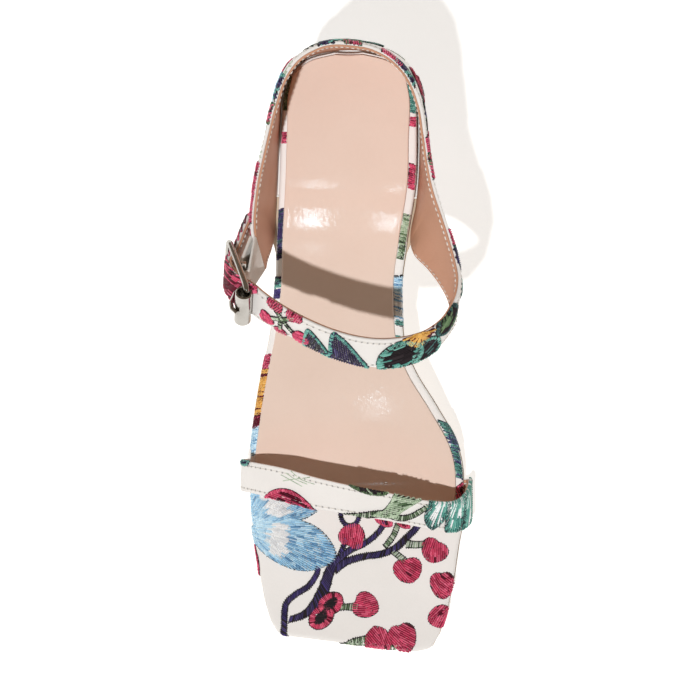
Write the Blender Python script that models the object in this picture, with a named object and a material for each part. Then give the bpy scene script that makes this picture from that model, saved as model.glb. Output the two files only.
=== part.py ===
"""A block heel sandal for the right foot: closed heel, open toe, vamp strap and buckled instep strap.

Lengths are millimetres, and MM turns them into Blender's metres where a mesh is made.
x grows to the inner side of the foot, s is the distance in front of the heel's back, z is the height.
"""
import math

import bmesh
import bpy
import numpy as np

for old in list(bpy.data.objects):
    bpy.data.objects.remove(old)


def columns(names, *rows):
    """A table of rows as one array for each named column."""
    return dict(zip(names.split(), np.array(rows, float).T))


# Driving sizes
MM = 0.001
GAP = 0.3
LATERAL, MEDIAL = -1, 1

FOOTBED_THICK = 5.0
FOOTBED_ROUND = 1.4
SEAT_DISH = 1.6
SOCK_THICK = 1.2
SOCK_FRONT = 171.0
SOCK_CORNER = 9.0
SOCK_INSET_LATERAL, SOCK_INSET_MEDIAL = 2.2, 3.0
SOCK_WIDTH_SHARE = 0.92
OUTSOLE_THICK, WAIST_THICK = 3.0, 2.4
TREAD_START, TREAD_END, TREAD_LAST_RIB = 165.0, 200.0, 197.0
TOP_PIECE_THICK = 5.0
HEEL_BREAST = 51.5

UPPER_WALL = 2.0
UPPER_MARGIN = 0.7
STRAP_WALL = 1.6
NOTCH_DEPTH, NOTCH_ROOM = 10.0, 1.0
ELASTIC_THICK = 1.0

FRAME_WIRE = 1.1
FRAME_WIDTH = 20.0
FRAME_CORNER = 2.2
BAR_WIRE = 0.9
BAR_DROP = 2.4
ROLLER_RADIUS = 3.0
ROLLER_WALL = 0.6
ROLLER_LENGTH = 15.2
PRONG_WIRE = 0.8

# How finely each piece is divided
FOOTBED_RIBS, SOCK_RIBS, WAIST_RIBS, TREAD_RIBS, COUNTER_RIBS, BREAST_RIBS = 44, 40, 22, 6, 12, 6
SOLE_POINTS = 9
VAMP_ROWS, VAMP_POINTS = 90, 5
UPPER_ROWS, UPPER_POINTS = 150, 6
ELASTIC_ROWS, ELASTIC_TURNS = 5, 9
ROLLER_SIDES = 20
CORNER_TURN, EYE_TURN = 30, 30
TOE_RIBS_BEHIND_TIP = np.array((14, 7, 3, 1, 0))

# Plan of the footbed: each rib runs from its lateral end to its medial end
OUTLINE = columns(
    "rib lateral_s lateral_x medial_s medial_x",
    (0, 0.0, -5.0, 0.0, 5.0),
    (2, 1.6, -12.5, 1.6, 12.5),
    (5.5, 5.0, -18.6, 5.0, 18.6),
    (13.5, 13.0, -23.0, 13.0, 23.0),
    (27, 27.0, -24.6, 27.0, 24.5),
    (45, 45.0, -25.6, 45.0, 24.2),
    (69, 69.0, -27.4, 69.0, 20.5),
    (86, 86.0, -28.6, 86.0, 18.4),
    (102, 102.0, -31.2, 102.0, 18.9),
    (115, 115.0, -34.3, 115.0, 22.9),
    (129, 129.0, -37.2, 129.0, 31.2),
    (143, 143.0, -39.5, 143.0, 38.8),
    (157, 157.0, -40.7, 157.0, 41.6),
    (170, 170.0, -40.3, 170.0, 41.7),
    (184, 184.0, -38.4, 184.0, 39.6),
    (198, 198.0, -36.2, 200.0, 37.1),
    (210, 208.0, -34.0, 213.0, 33.7),
    (217, 214.5, -31.2, 220.0, 30.6),
    (221, 217.6, -27.6, 223.2, 26.6),
    (222, 218.4, -23.5, 223.9, 22.5),
)
LAST_RIB = 222.0

# Side view of the footbed's underside: seat, waist, tread and toe spring
PROFILE = columns(
    "s under",
    (-4, 81.2),
    (0, 81.0),
    (20, 79.0),
    (40, 74.0),
    (60, 65.0),
    (80, 52.5),
    (100, 38.5),
    (120, 25.0),
    (140, 13.5),
    (152, 7.6),
    (TREAD_START, OUTSOLE_THICK + GAP),
    (TREAD_END, OUTSOLE_THICK + GAP),
    (212, 4.3),
    (226, 6.6),
)
# How far the outsole stands out past the footbed, so that the quarters end on it behind
OUTSOLE_MARGIN = columns("s out", (45, 2.7), (69, 2.7), (82, 0.3), (226, 0.3))
OUTSOLE_LEVEL = columns(
    "s thick",
    (45, WAIST_THICK),
    (130, WAIST_THICK),
    (160, OUTSOLE_THICK),
    (226, OUTSOLE_THICK),
)
# The heel's height shares and how far its outline has drawn in at each
HEEL_TAPER = columns(
    "share drawn_in",
    (0.0, 1.0),
    (0.12, 0.99),
    (0.45, 0.78),
    (0.75, 0.38),
    (0.92, 0.08),
    (1.0, 0.0),
)
HEEL_FOOT_WIDTH_SHARE = 0.83
HEEL_FOOT_BACK = 3.0
HEEL_FOOT_LENGTH_SHARE = 0.77

# The vamp strap's ends: out past the footbed's edge, up from its underside
TUCK = columns("out up", (-9, 0), (-3, 0), (0.2, 0.05), (1.8, 0.6), (2.6, 2.0), (2.8, 4.6))
TUCK_LATERAL_BACK, TUCK_LATERAL_FRONT = 149.6, 161.9
TUCK_MEDIAL_BACK, TUCK_MEDIAL_FRONT = 157.5, 171.8
# The vamp strap's arch, from the lateral side to the medial side: its back edge and its front edge
VAMP_ARCH = columns(
    "back_x back_s back_z front_x front_s front_z",
    (-43.2, 150.3, 20.0, -43.8, 162.0, 14.5),
    (-38.0, 150.8, 28.0, -38.4, 162.8, 22.0),
    (-26.2, 152.9, 33.8, -27.4, 165.1, 27.2),
    (-15.1, 156.0, 36.2, -15.4, 168.1, 29.2),
    (-5.8, 158.2, 37.2, -4.1, 169.9, 30.0),
    (5.2, 160.6, 37.4, 8.8, 172.0, 30.0),
    (16.1, 162.6, 36.6, 19.8, 174.1, 29.0),
    (27.9, 165.0, 33.4, 29.0, 175.9, 26.6),
    (38.5, 165.6, 25.6, 38.6, 177.0, 20.4),
    (43.3, 161.8, 17.0, 43.9, 174.6, 13.5),
)

# The upper's outer face, from the lateral quarter's front end back round the heel to the strap's tail.
# Lateral quarter in front of the sole: lower edge and top edge
LATERAL_TONGUE = columns(
    "low_x low_s low_z top_x top_s top_z crown",
    (-31.4, 79.5, 91.0, -34.5, 66.0, 105.0, 0.3),
    (-31.2, 76.0, 83.0, -34.6, 61.0, 105.2, 0.6),
    (-30.6, 72.0, 72.0, -34.0, 55.0, 106.8, 1.0),
)
# Heel counter and quarters: the rib where the lower edge sits beside the footbed, and the top edge
COUNTER = columns(
    "side low_rib top_x top_s top_z crown",
    (LATERAL, 66, -32.9, 48.0, 109.3, 1.0),
    (LATERAL, 54, -31.0, 40.0, 112.6, 1.0),
    (LATERAL, 40, -28.4, 31.0, 117.6, 0.9),
    (LATERAL, 26, -25.2, 21.5, 123.4, 0.8),
    (LATERAL, 15, -20.6, 11.6, 129.4, 0.8),
    (LATERAL, 8, -16.0, 6.4, 132.2, 0.8),
    (LATERAL, 3, -9.6, 2.9, 133.8, 0.8),
    (LATERAL, 0, -3.4, 1.6, 134.4, 0.8),
    (MEDIAL, 0, 3.4, 1.6, 134.4, 0.8),
    (MEDIAL, 3, 10.0, 2.9, 133.8, 0.8),
    (MEDIAL, 8, 16.6, 6.4, 132.2, 0.8),
    (MEDIAL, 15, 21.6, 11.4, 129.4, 0.8),
    (MEDIAL, 26, 26.2, 21.0, 123.4, 0.8),
    (MEDIAL, 40, 28.2, 31.0, 117.6, 0.9),
    (MEDIAL, 54, 29.9, 42.0, 111.6, 1.0),
    (MEDIAL, 67, 32.2, 52.0, 107.7, 1.0),
)
# Medial quarter in front of the sole, instep strap, buckled stretch and tail
INSTEP_STRAP = columns(
    "low_x low_s low_z top_x top_s top_z crown",
    (24.6, 72.6, 69.0, 34.6, 59.0, 106.0, 1.0),
    (29.4, 78.0, 79.0, 37.2, 67.0, 105.6, 1.0),
    (34.4, 84.8, 89.0, 39.6, 75.5, 106.9, 0.8),
    (37.6, 91.4, 96.4, 40.7, 82.5, 110.2, 0.6),
    (38.6, 97.6, 102.0, 39.5, 89.0, 114.4, 0.6),
    (36.0, 103.0, 106.0, 35.4, 96.5, 119.0, 0.6),
    (31.3, 108.2, 109.6, 29.7, 101.0, 122.6, 0.6),
    (24.4, 112.0, 112.9, 24.6, 103.0, 125.0, 0.6),
    (16.0, 114.0, 115.2, 17.7, 104.2, 126.8, 0.6),
    (7.3, 113.8, 116.2, 11.1, 104.4, 127.6, 0.6),
    (-1.2, 111.8, 116.0, 4.3, 103.6, 127.8, 0.6),
    (-9.8, 108.4, 114.6, -3.8, 101.5, 127.2, 0.6),
    (-18.6, 104.0, 112.0, -14.4, 97.2, 125.0, 0.6),
    (-27.0, 99.6, 109.0, -23.2, 92.4, 122.6, 0.6),
    (-32.2, 96.6, 107.6, -29.6, 88.0, 120.6, 0.3),
    (-35.2, 94.3, 107.0, -33.8, 84.7, 119.0, 0.0),
    (-39.0, 92.2, 105.2, -37.6, 82.6, 117.2, 0.0),
    (-43.1, 88.0, 101.6, -41.7, 78.4, 113.6, 0.0),
    (-44.2, 85.4, 99.2, -42.8, 75.8, 111.2, 0.0),
    (-41.5, 79.8, 94.2, -40.1, 70.2, 106.2, 0.0),
    (-38.9, 72.2, 88.8, -37.6, 62.8, 100.6, 0.0),
    (-36.6, 67.2, 85.6, -35.7, 58.2, 97.2, 0.0),
)

# The buckle's upper side bar, front end and rear end, and the way down across the strap
ROD_FRONT, ROD_REAR = np.array((-34.8, 85.8, 121.9)), np.array((-42.0, 68.7, 108.9))
ACROSS_STRAP = np.array((-0.12, 0.53, -0.84))
PRONG_REACH, PRONG_DIP, EYE_OPENS = 2.6, 1.2, 150
# The elastic's ends at the lateral quarter's front edge
ELASTIC_TOP, ELASTIC_LOW = np.array((-33.8, 67.3, 104.2)), np.array((-31.0, 78.7, 92.6))
ELASTIC_INSET = 2.6
ELASTIC_SLOT, SLOT_REACH = 2.6, 3.4

COLOURS = {
    # name: red, green, blue, roughness, metallic
    "floral_leather": (0.86, 0.84, 0.81, 0.45, 0.0),
    "pink_sock": (0.80, 0.58, 0.48, 0.3, 0.0),
    "sole_rubber": (0.52, 0.40, 0.29, 0.7, 0.0),
    "heel_tip": (0.40, 0.31, 0.23, 0.7, 0.0),
    "elastic": (0.85, 0.84, 0.82, 0.9, 0.0),
    "buckle_metal": (0.78, 0.78, 0.77, 0.2, 1.0),
}

shoe = bpy.data.objects.new("shoe", None)
bpy.context.collection.objects.link(shoe)


# Working tools
def smooth(at, keys, values, keep_flat=True):
    """A cubic through the rows (keys, values), read at `at`; keep_flat stops it from overshooting a row."""
    keys, values, at = (np.asarray(a, float) for a in (keys, values, at))
    step = np.diff(keys)
    slope = np.diff(values) / step
    lean = np.concatenate((slope[:1], slope[:-1], slope[-1:]))
    before, after = step[:-1], step[1:]
    lean[1:-1] = (slope[:-1] * after + slope[1:] * before) / (before + after)
    if keep_flat:
        same_way = slope[:-1] * slope[1:] > 0
        gentle = np.minimum(np.abs(slope[:-1]), np.abs(slope[1:])) * 3
        lean[1:-1] = np.where(same_way, np.clip(lean[1:-1], -gentle, gentle), 0)
    i = np.clip(np.searchsorted(keys, at, side="right") - 1, 0, len(step) - 1)
    t = (at - keys[i]) / step[i]
    near = values[i] * (1 + 2 * t) + lean[i] * step[i] * t
    far = values[i + 1] * (3 - 2 * t) + lean[i + 1] * step[i] * (t - 1)
    return near * (1 - t) ** 2 + far * t**2


def unit(vector):
    return vector / np.linalg.norm(vector, axis=-1, keepdims=True)


def material(name):
    """The named colour as a Principled material, made once."""
    found = bpy.data.materials.get(name)
    if found:
        return found
    *colour, rough, metal = COLOURS[name]
    made = bpy.data.materials.new(name)
    made.use_nodes = True
    shader = made.node_tree.nodes["Principled BSDF"]
    shader.inputs["Base Color"].default_value = (*colour, 1)
    shader.inputs["Roughness"].default_value = rough
    shader.inputs["Metallic"].default_value = metal
    return made


def add_object(name, bm, colour):
    """Puts a bmesh, in millimetres of (x, s, z), into the scene as a part of the shoe."""
    for vert in bm.verts:
        x, s, z = vert.co
        vert.co = (x * MM, -s * MM, z * MM)
    bm.normal_update()
    bmesh.ops.recalc_face_normals(bm, faces=bm.faces)
    mesh = bpy.data.meshes.new(name)
    bm.to_mesh(mesh)
    bm.free()
    mesh.materials.append(material(colour))
    ob = bpy.data.objects.new(name, mesh)
    bpy.context.collection.objects.link(ob)
    ob.parent = shoe
    return ob


def sheet(bm, grid):
    """Quads over a grid of points; returns the grid's verts."""
    verts = [[bm.verts.new(point) for point in row] for row in grid]
    for a, b in zip(verts, verts[1:]):
        for j in range(len(a) - 1):
            bm.faces.new((a[j], a[j + 1], b[j + 1], b[j]))
    return verts


def rim_of(verts):
    """The verts along a grid's border, once round."""
    first, last = verts[0], verts[-1]
    sides = verts[1:-1]
    return first + [row[-1] for row in sides] + last[::-1] + [row[0] for row in sides[::-1]]


def between(name, grids, colour):
    """A solid from the bottom grid to the top grid; those between them shape its side."""
    bm = bmesh.new()
    layers = [sheet(bm, grids[0])]
    for grid in grids[1:-1]:
        layers.append([[bm.verts.new(point) for point in row] for row in grid])
    layers.append(sheet(bm, grids[-1]))
    rims = [rim_of(verts) for verts in layers]
    for low, high in zip(rims, rims[1:]):
        for k in range(len(low)):
            bm.faces.new((low[k - 1], low[k], high[k], high[k - 1]))
    bmesh.ops.delete(bm, geom=[v for v in bm.verts if not v.link_faces], context="VERTS")
    return add_object(name, bm, colour)


def wall(name, grid, thick, colour, offset=-1.0):
    """A wall of even thickness on the inner side of its outer face's grid."""
    bm = bmesh.new()
    sheet(bm, grid)
    ob = add_object(name, bm, colour)
    modifier = ob.modifiers.new("wall", "SOLIDIFY")
    modifier.thickness = thick * MM
    modifier.offset = offset
    modifier.use_even_offset = True
    return ob


def cut(ob, cutter):
    """Subtracts a cutter, which stays in the scene unseen."""
    modifier = ob.modifiers.new("cut", "BOOLEAN")
    modifier.operation = "DIFFERENCE"
    modifier.object = cutter
    hide(cutter)


def hide(cutter):
    cutter.hide_render = True
    cutter.display_type = "WIRE"


def wire(name, points, radius, colour, closed=False):
    """A round wire along the points, as a mesh."""
    curve = bpy.data.curves.new(name, "CURVE")
    curve.dimensions = "3D"
    curve.bevel_depth = radius
    curve.bevel_resolution = 2
    curve.use_fill_caps = True
    spline = curve.splines.new("POLY")
    spline.points.add(len(points) - 1)
    for spot, point in zip(spline.points, points):
        spot.co = (*point, 1)
    spline.use_cyclic_u = closed
    holder = bpy.data.objects.new(name + "_line", curve)
    bm = bmesh.new()
    bm.from_mesh(holder.to_mesh())
    bpy.data.objects.remove(holder)
    bmesh.ops.remove_doubles(bm, verts=bm.verts, dist=0.001)
    return add_object(name, bm, colour)


# The footbed's surfaces
def under(s):
    return smooth(s, PROFILE["s"], PROFILE["under"])


def edge_x(side, s):
    """The footbed's edge on one side, at a distance from the heel."""
    name = "lateral" if side == LATERAL else "medial"
    return smooth(s, OUTLINE[name + "_s"], OUTLINE[name + "_x"])


def edge_point(side, rib, out):
    """(x, s) of one end of a rib, moved outward from the footbed's edge."""
    name = "lateral" if side == LATERAL else "medial"

    def read(at):
        return np.array([smooth(at, OUTLINE["rib"], OUTLINE[name + k]) for k in ("_x", "_s")])

    nudge = 0.4
    along = unit((read(np.minimum(rib + nudge, LAST_RIB)) - read(np.maximum(rib - nudge, 0))).T).T
    outward = np.array((along[1], -along[0])) * side
    ends = (rib <= 0) | (rib >= LAST_RIB)
    forward = np.array((np.zeros_like(rib), np.where(rib <= 0, -1.0, 1.0)))
    return read(rib) + out * np.where(ends, forward, outward)


def ribs(first, last, count):
    """Rib places, closer together at both round ends."""
    turn = np.linspace(0, math.pi, count)
    even = np.linspace(0, 1, count)
    crowded = (1 - np.cos(turn)) / 2
    return first + (last - first) * (crowded + even) / 2


def plan(rib_places, out, across):
    """A grid of (x, s) between the two ends of each rib, and each point's share across the sole."""
    rib_places = np.asarray(rib_places, float)
    out = np.broadcast_to(out, (2, len(rib_places)))
    lateral = edge_point(LATERAL, rib_places, out[0])
    medial = edge_point(MEDIAL, rib_places, out[1])
    share = np.linspace(0, 1, across)
    grid = lateral.T[:, None, :] * (1 - share[None, :, None]) + medial.T[:, None, :] * share[None, :, None]
    return grid, share * 2 - 1


def dish(grid, share):
    """How far the footbed's top sinks between its edges: most at the seat, none at the toe."""
    depth = SEAT_DISH * np.clip(1 - grid[..., 1] / SOCK_FRONT, 0, 1)
    return depth * (1 - share[None, :] ** 2)


def raised(grid, height):
    return np.concatenate((grid, np.broadcast_to(height, grid.shape[:2])[..., None]), axis=2)


def make_footbed():
    """The covered board, its top edge rounded over, with room for the tucked strap ends."""
    places = ribs(0, LAST_RIB, FOOTBED_RIBS)
    layers = []
    halfway = 1 - math.sqrt(0.5)
    for drawn_in, below_top in ((0, FOOTBED_THICK), (0, FOOTBED_ROUND), (halfway * FOOTBED_ROUND,) * 2):
        grid, _ = plan(places, -drawn_in, SOLE_POINTS)
        layers.append(raised(grid, under(grid[..., 1]) + FOOTBED_THICK - below_top))
    grid, share = plan(places, -FOOTBED_ROUND, SOLE_POINTS)
    layers.append(raised(grid, under(grid[..., 1]) + FOOTBED_THICK - dish(grid, share)))
    footbed = between("footbed", layers, "floral_leather")
    cut(footbed, make_notch("notch_lateral", LATERAL, TUCK_LATERAL_BACK, TUCK_LATERAL_FRONT))
    cut(footbed, make_notch("notch_medial", MEDIAL, TUCK_MEDIAL_BACK, TUCK_MEDIAL_FRONT))


def make_notch(name, side, back, front):
    """The cutter for the room that a tucked strap end takes under the footbed's edge."""
    s = np.array((back - NOTCH_ROOM, front + NOTCH_ROOM))
    edge = edge_x(side, s)
    x = np.array((edge - side * NOTCH_DEPTH, edge + side * NOTCH_DEPTH)).T
    grid = np.stack((x, np.stack((s, s), axis=1)), axis=2)
    level = under(grid[..., 1])
    layers = [raised(grid, level - NOTCH_ROOM), raised(grid, level + STRAP_WALL + GAP)]
    return between(name, layers, "floral_leather")


def make_sock():
    """The sock lining: drawn in from the footbed's edge, with round front corners."""
    places = ribs(0, SOCK_FRONT, SOCK_RIBS)
    almost_all = 0.97
    ahead = np.clip(places - (SOCK_FRONT - SOCK_CORNER), 0, SOCK_CORNER * almost_all)
    corner = SOCK_CORNER - np.sqrt(SOCK_CORNER**2 - ahead**2)
    drawn_in = (-SOCK_INSET_LATERAL - corner, -SOCK_INSET_MEDIAL - corner)
    grid, share = plan(places, drawn_in, SOLE_POINTS)
    flat = under(grid[..., 1]) + FOOTBED_THICK + GAP - dish(grid, share * SOCK_WIDTH_SHARE)
    between("sock_lining", [raised(grid, flat), raised(grid, flat + SOCK_THICK)], "pink_sock")


def make_outsole():
    """The sole from the heel's breast to the toe, flat where it treads."""
    waist = np.linspace(HEEL_BREAST + GAP, TREAD_START, WAIST_RIBS)
    tread = np.linspace(TREAD_START, TREAD_LAST_RIB, TREAD_RIBS)[1:]
    places = np.concatenate((waist, tread, LAST_RIB - TOE_RIBS_BEHIND_TIP))
    out = smooth(places, OUTSOLE_MARGIN["s"], OUTSOLE_MARGIN["out"])
    grid, _ = plan(places, (out, out), SOLE_POINTS)
    s = grid[..., 1]
    top = under(s) - GAP
    low = top - smooth(s, OUTSOLE_LEVEL["s"], OUTSOLE_LEVEL["thick"])
    low[(s >= TREAD_START) & (s <= TREAD_END)] = 0
    between("outsole", [raised(grid, low), raised(grid, top)], "sole_rubber")


def make_heel():
    """The block, flush with the counter above and drawn in towards its foot, and the top piece under it."""
    round_end = HEEL_BREAST / 2
    straight = np.linspace(round_end, HEEL_BREAST, BREAST_RIBS)[1:]
    places = np.concatenate((ribs(0, round_end, COUNTER_RIBS), straight))
    top, _ = plan(places, UPPER_MARGIN + UPPER_WALL, SOLE_POINTS)
    along = (top[..., 1] - top[..., 1].min()) * HEEL_FOOT_LENGTH_SHARE
    foot = np.stack((top[..., 0] * HEEL_FOOT_WIDTH_SHARE, HEEL_FOOT_BACK + along), axis=2)
    start = TOP_PIECE_THICK + GAP
    reach = under(top[..., 1]) - GAP - start
    layers = []
    for share, drawn_in in zip(HEEL_TAPER["share"], HEEL_TAPER["drawn_in"]):
        layers.append(raised(top + (foot - top) * drawn_in, start + reach * share))
    between("heel_block", layers, "floral_leather")
    between("heel_top_piece", [raised(foot, 0), raised(foot, TOP_PIECE_THICK)], "heel_tip")


# Straps and upper
def along_rows(low, top, crown, count, across):
    """A grid of the outer face through rows of a lower and a top point, bulged out by each row's crown.

    The lower edge never dips under the level of the footbed's underside.
    """
    middle = (low + top) / 2
    length = np.concatenate(((0,), np.cumsum(np.linalg.norm(np.diff(middle, axis=0), axis=1))))
    at = np.linspace(0, length[-1], count)

    def read(values):
        return np.stack([smooth(at, length, v, keep_flat=False) for v in values.T], axis=1)

    low, top = read(low), read(top)
    low[:, 2] = np.maximum(low[:, 2], under(low[:, 1]))
    bulge = smooth(at, length, crown)
    outward = unit(np.cross(np.gradient((low + top) / 2, axis=0), top - low))
    share = np.linspace(0, 1, across)[None, :, None]
    swell = 4 * share * (1 - share) * (bulge[:, None] * outward)[:, None, :]
    return low[:, None, :] * (1 - share) + top[:, None, :] * share + swell


def points(table, prefix):
    return np.stack([table[prefix + k] for k in ("x", "s", "z")], axis=1)


def tucked(side, s):
    """One edge of a strap's tucked end, from under the footbed to its side."""
    x = edge_x(side, s) + side * TUCK["out"]
    return np.stack((x, np.full_like(x, s), under(s) + TUCK["up"]), axis=1)


def make_vamp_strap():
    back = np.concatenate((tucked(LATERAL, TUCK_LATERAL_BACK), points(VAMP_ARCH, "back_"),
                           tucked(MEDIAL, TUCK_MEDIAL_BACK)[::-1]))
    front = np.concatenate((tucked(LATERAL, TUCK_LATERAL_FRONT), points(VAMP_ARCH, "front_"),
                            tucked(MEDIAL, TUCK_MEDIAL_FRONT)[::-1]))
    grid = along_rows(front, back, np.zeros(len(back)), VAMP_ROWS, VAMP_POINTS)
    wall("vamp_strap", grid, STRAP_WALL, "floral_leather")


def upper_rows():
    """Lower edge, top edge and crown of every row of the upper."""
    seated = []
    for side, rib in zip(COUNTER["side"], COUNTER["low_rib"]):
        x, s = edge_point(side, rib, UPPER_MARGIN + UPPER_WALL)
        seated.append((x, s, under(s)))
    low = np.concatenate((points(LATERAL_TONGUE, "low_"), seated, points(INSTEP_STRAP, "low_")))
    tables = (LATERAL_TONGUE, COUNTER, INSTEP_STRAP)
    top = np.concatenate([points(table, "top_") for table in tables])
    crown = np.concatenate([table["crown"] for table in tables])
    return low, top, crown


def make_upper():
    grid = along_rows(*upper_rows(), UPPER_ROWS, UPPER_POINTS)
    upper = wall("upper", grid, UPPER_WALL, "floral_leather")
    cut(upper, make_prong_hole())


# Buckle
LENGTHWISE = unit(ROD_REAR - ROD_FRONT)
ROD_LENGTH = np.linalg.norm(ROD_REAR - ROD_FRONT)
DOWN_ACROSS = unit(ACROSS_STRAP - LENGTHWISE * (ACROSS_STRAP @ LENGTHWISE))
OUTWARD = np.cross(DOWN_ACROSS, LENGTHWISE)
BAR_PLACE = ROD_LENGTH / 2
MIDDLE = FRAME_WIDTH / 2
ROLLER_HANG = ROLLER_RADIUS - ROLLER_WALL - FRAME_WIRE - GAP


def on_buckle(length, across, out):
    """A place on the buckle: from its front bar back, down from its upper side bar, and outward."""
    return ROD_FRONT + LENGTHWISE * length + DOWN_ACROSS * across + OUTWARD * out


def make_frame():
    """A rounded rectangle of wire with a middle bar that is dropped towards the foot."""
    path = []
    near, far, low = FRAME_CORNER, ROD_LENGTH - FRAME_CORNER, FRAME_WIDTH - FRAME_CORNER
    corners = ((near, near, 270), (near, low, 180), (far, low, 90), (far, near, 0))
    for centre_l, centre_a, start in corners:
        for degrees in range(start, start - 91, -CORNER_TURN):
            turn = math.radians(degrees)
            length = centre_l + FRAME_CORNER * math.cos(turn)
            path.append(on_buckle(length, centre_a + FRAME_CORNER * math.sin(turn), 0))
    frame = wire("buckle_frame", path, FRAME_WIRE, "buckle_metal", closed=True)
    knee = FRAME_WIRE / 2
    bends = ((0, 0), (knee, -BAR_DROP), (FRAME_WIDTH - knee, -BAR_DROP), (FRAME_WIDTH, 0))
    bar_path = [on_buckle(BAR_PLACE, across, out) for across, out in bends]
    bar = wire("middle_bar", bar_path, BAR_WIRE, "buckle_metal")
    join = frame.modifiers.new("bar", "BOOLEAN")
    join.operation = "UNION"
    join.object = bar
    hide(bar)


def make_roller():
    """A thin tube that hangs on the frame's front bar."""
    turns = np.linspace(0, 2 * math.pi, ROLLER_SIDES + 1)
    start = (FRAME_WIDTH - ROLLER_LENGTH) / 2
    grid = []
    for across in (start, start + ROLLER_LENGTH):
        ring = [(ROLLER_RADIUS * math.cos(turn), ROLLER_RADIUS * math.sin(turn)) for turn in turns]
        grid.append([on_buckle(length, across, ROLLER_HANG + out) for length, out in ring])
    roller = wall("buckle_roller", np.array(grid), ROLLER_WALL, "buckle_metal")
    weld = roller.modifiers.new("weld", "WELD")
    weld.merge_threshold = 0.00001
    roller.modifiers.move(1, 0)


def prong_eye():
    """The prong's loop round the middle bar."""
    radius = BAR_WIRE + GAP + PRONG_WIRE
    path = []
    for degrees in range(EYE_OPENS, -EYE_OPENS - 1, -EYE_TURN):
        turn = math.radians(degrees)
        out = -BAR_DROP - radius * math.cos(turn)
        path.append(on_buckle(BAR_PLACE + radius * math.sin(turn), MIDDLE, out))
    return path


def prong_shank():
    """The prong from its loop to its tip, which rests on the roller."""
    rest = ROLLER_HANG + ROLLER_RADIUS + GAP + PRONG_WIRE
    places = ((PRONG_REACH, rest - GAP), (0, rest), (-PRONG_REACH, rest - PRONG_DIP))
    return [on_buckle(length, MIDDLE, out) for length, out in places]


def make_prong():
    wire("buckle_prong", prong_eye() + prong_shank(), PRONG_WIRE, "buckle_metal")


def make_prong_hole():
    """The cutter for the strap's hole round the prong."""
    return wire("prong_hole", prong_eye()[-2:] + prong_shank(), PRONG_WIRE + GAP, "buckle_metal")


def make_elastic():
    """Two layers from the lateral quarter's front edge, joined by a turn round the middle bar."""
    turn_radius = BAR_WIRE + GAP + ELASTIC_THICK / 2
    apart = (ELASTIC_THICK + GAP) / 2
    rows = []
    for share in np.linspace(0, 1, ELASTIC_ROWS):
        sewn = ELASTIC_TOP * (1 - share) + ELASTIC_LOW * share
        across = ELASTIC_INSET + (FRAME_WIDTH - 2 * ELASTIC_INSET) * share
        bar = on_buckle(BAR_PLACE, across, -BAR_DROP)
        back = unit(sewn - bar)
        side = unit(OUTWARD - back * (OUTWARD @ back))
        turns = np.linspace(0, math.pi, ELASTIC_TURNS)[:, None]
        round_bar = bar + turn_radius * (np.cos(turns) * side - np.sin(turns) * back)
        rows.append([sewn + side * apart, *round_bar, sewn - side * apart])
    elastic = wall("elastic_tab", np.array(rows), ELASTIC_THICK, "elastic", offset=0.0)
    cut(elastic, make_slot())


def make_slot():
    """The cutter for the prong's slot in the elastic."""
    across = (MIDDLE - ELASTIC_SLOT / 2, MIDDLE + ELASTIC_SLOT / 2)
    lengths = (BAR_PLACE - SLOT_REACH, BAR_PLACE + SLOT_REACH)
    layers = []
    for out in (-BAR_DROP - SLOT_REACH, -BAR_DROP + SLOT_REACH):
        layers.append([[on_buckle(length, a, out) for a in across] for length in lengths])
    return between("prong_slot", layers, "elastic")


def stand_on_origin():
    """Moves the shoe so that the middle of its box stands over the origin, on the floor."""
    bpy.context.view_layer.update()
    depsgraph = bpy.context.evaluated_depsgraph_get()
    corners = []
    for ob in bpy.data.objects:
        if ob.type == "MESH" and not ob.hide_render:
            shown = ob.evaluated_get(depsgraph)
            corners.extend(shown.matrix_world @ v.co for v in shown.data.vertices)
    corners = np.array(corners)
    low, high = corners.min(axis=0), corners.max(axis=0)
    shoe.location = (-(low[0] + high[0]) / 2, -(low[1] + high[1]) / 2, -low[2])


make_heel()
make_outsole()
make_footbed()
make_sock()
make_vamp_strap()
make_upper()
make_elastic()
make_frame()
make_roller()
make_prong()
stand_on_origin()
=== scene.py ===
import math

import bpy
import numpy as np
from mathutils import Matrix


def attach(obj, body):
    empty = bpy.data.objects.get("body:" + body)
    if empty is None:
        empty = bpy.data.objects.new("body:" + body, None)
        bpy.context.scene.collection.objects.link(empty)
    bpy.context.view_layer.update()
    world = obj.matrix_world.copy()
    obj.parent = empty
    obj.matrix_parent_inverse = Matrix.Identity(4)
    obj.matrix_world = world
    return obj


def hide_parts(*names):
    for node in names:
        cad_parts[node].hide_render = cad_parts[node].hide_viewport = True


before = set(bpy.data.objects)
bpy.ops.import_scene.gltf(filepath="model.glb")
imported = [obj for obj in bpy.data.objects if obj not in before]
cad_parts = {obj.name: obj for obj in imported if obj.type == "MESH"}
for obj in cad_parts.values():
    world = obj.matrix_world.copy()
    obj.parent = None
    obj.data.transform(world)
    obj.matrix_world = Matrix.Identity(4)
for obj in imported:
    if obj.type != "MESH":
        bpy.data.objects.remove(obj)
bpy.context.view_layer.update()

# Looks of a block heel sandal for the right foot: leather, lining, sock, sole, buckle and embroidery.
# Lengths are millimetres until a mesh is made. Tables give x to the inner side of the foot,
# s in front of the heel's back and z up; the row's frame has Y = SHOE_Y - s.
MM = 0.001
SHOE_X, SHOE_Y = 0.039, 110.596
LATERAL, MEDIAL = -1, 1
chance = np.random.default_rng(11)


def columns(names, *rows):
    """A table of rows as one array for each named column."""
    return dict(zip(names.split(), np.array(rows, float).T))


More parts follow.
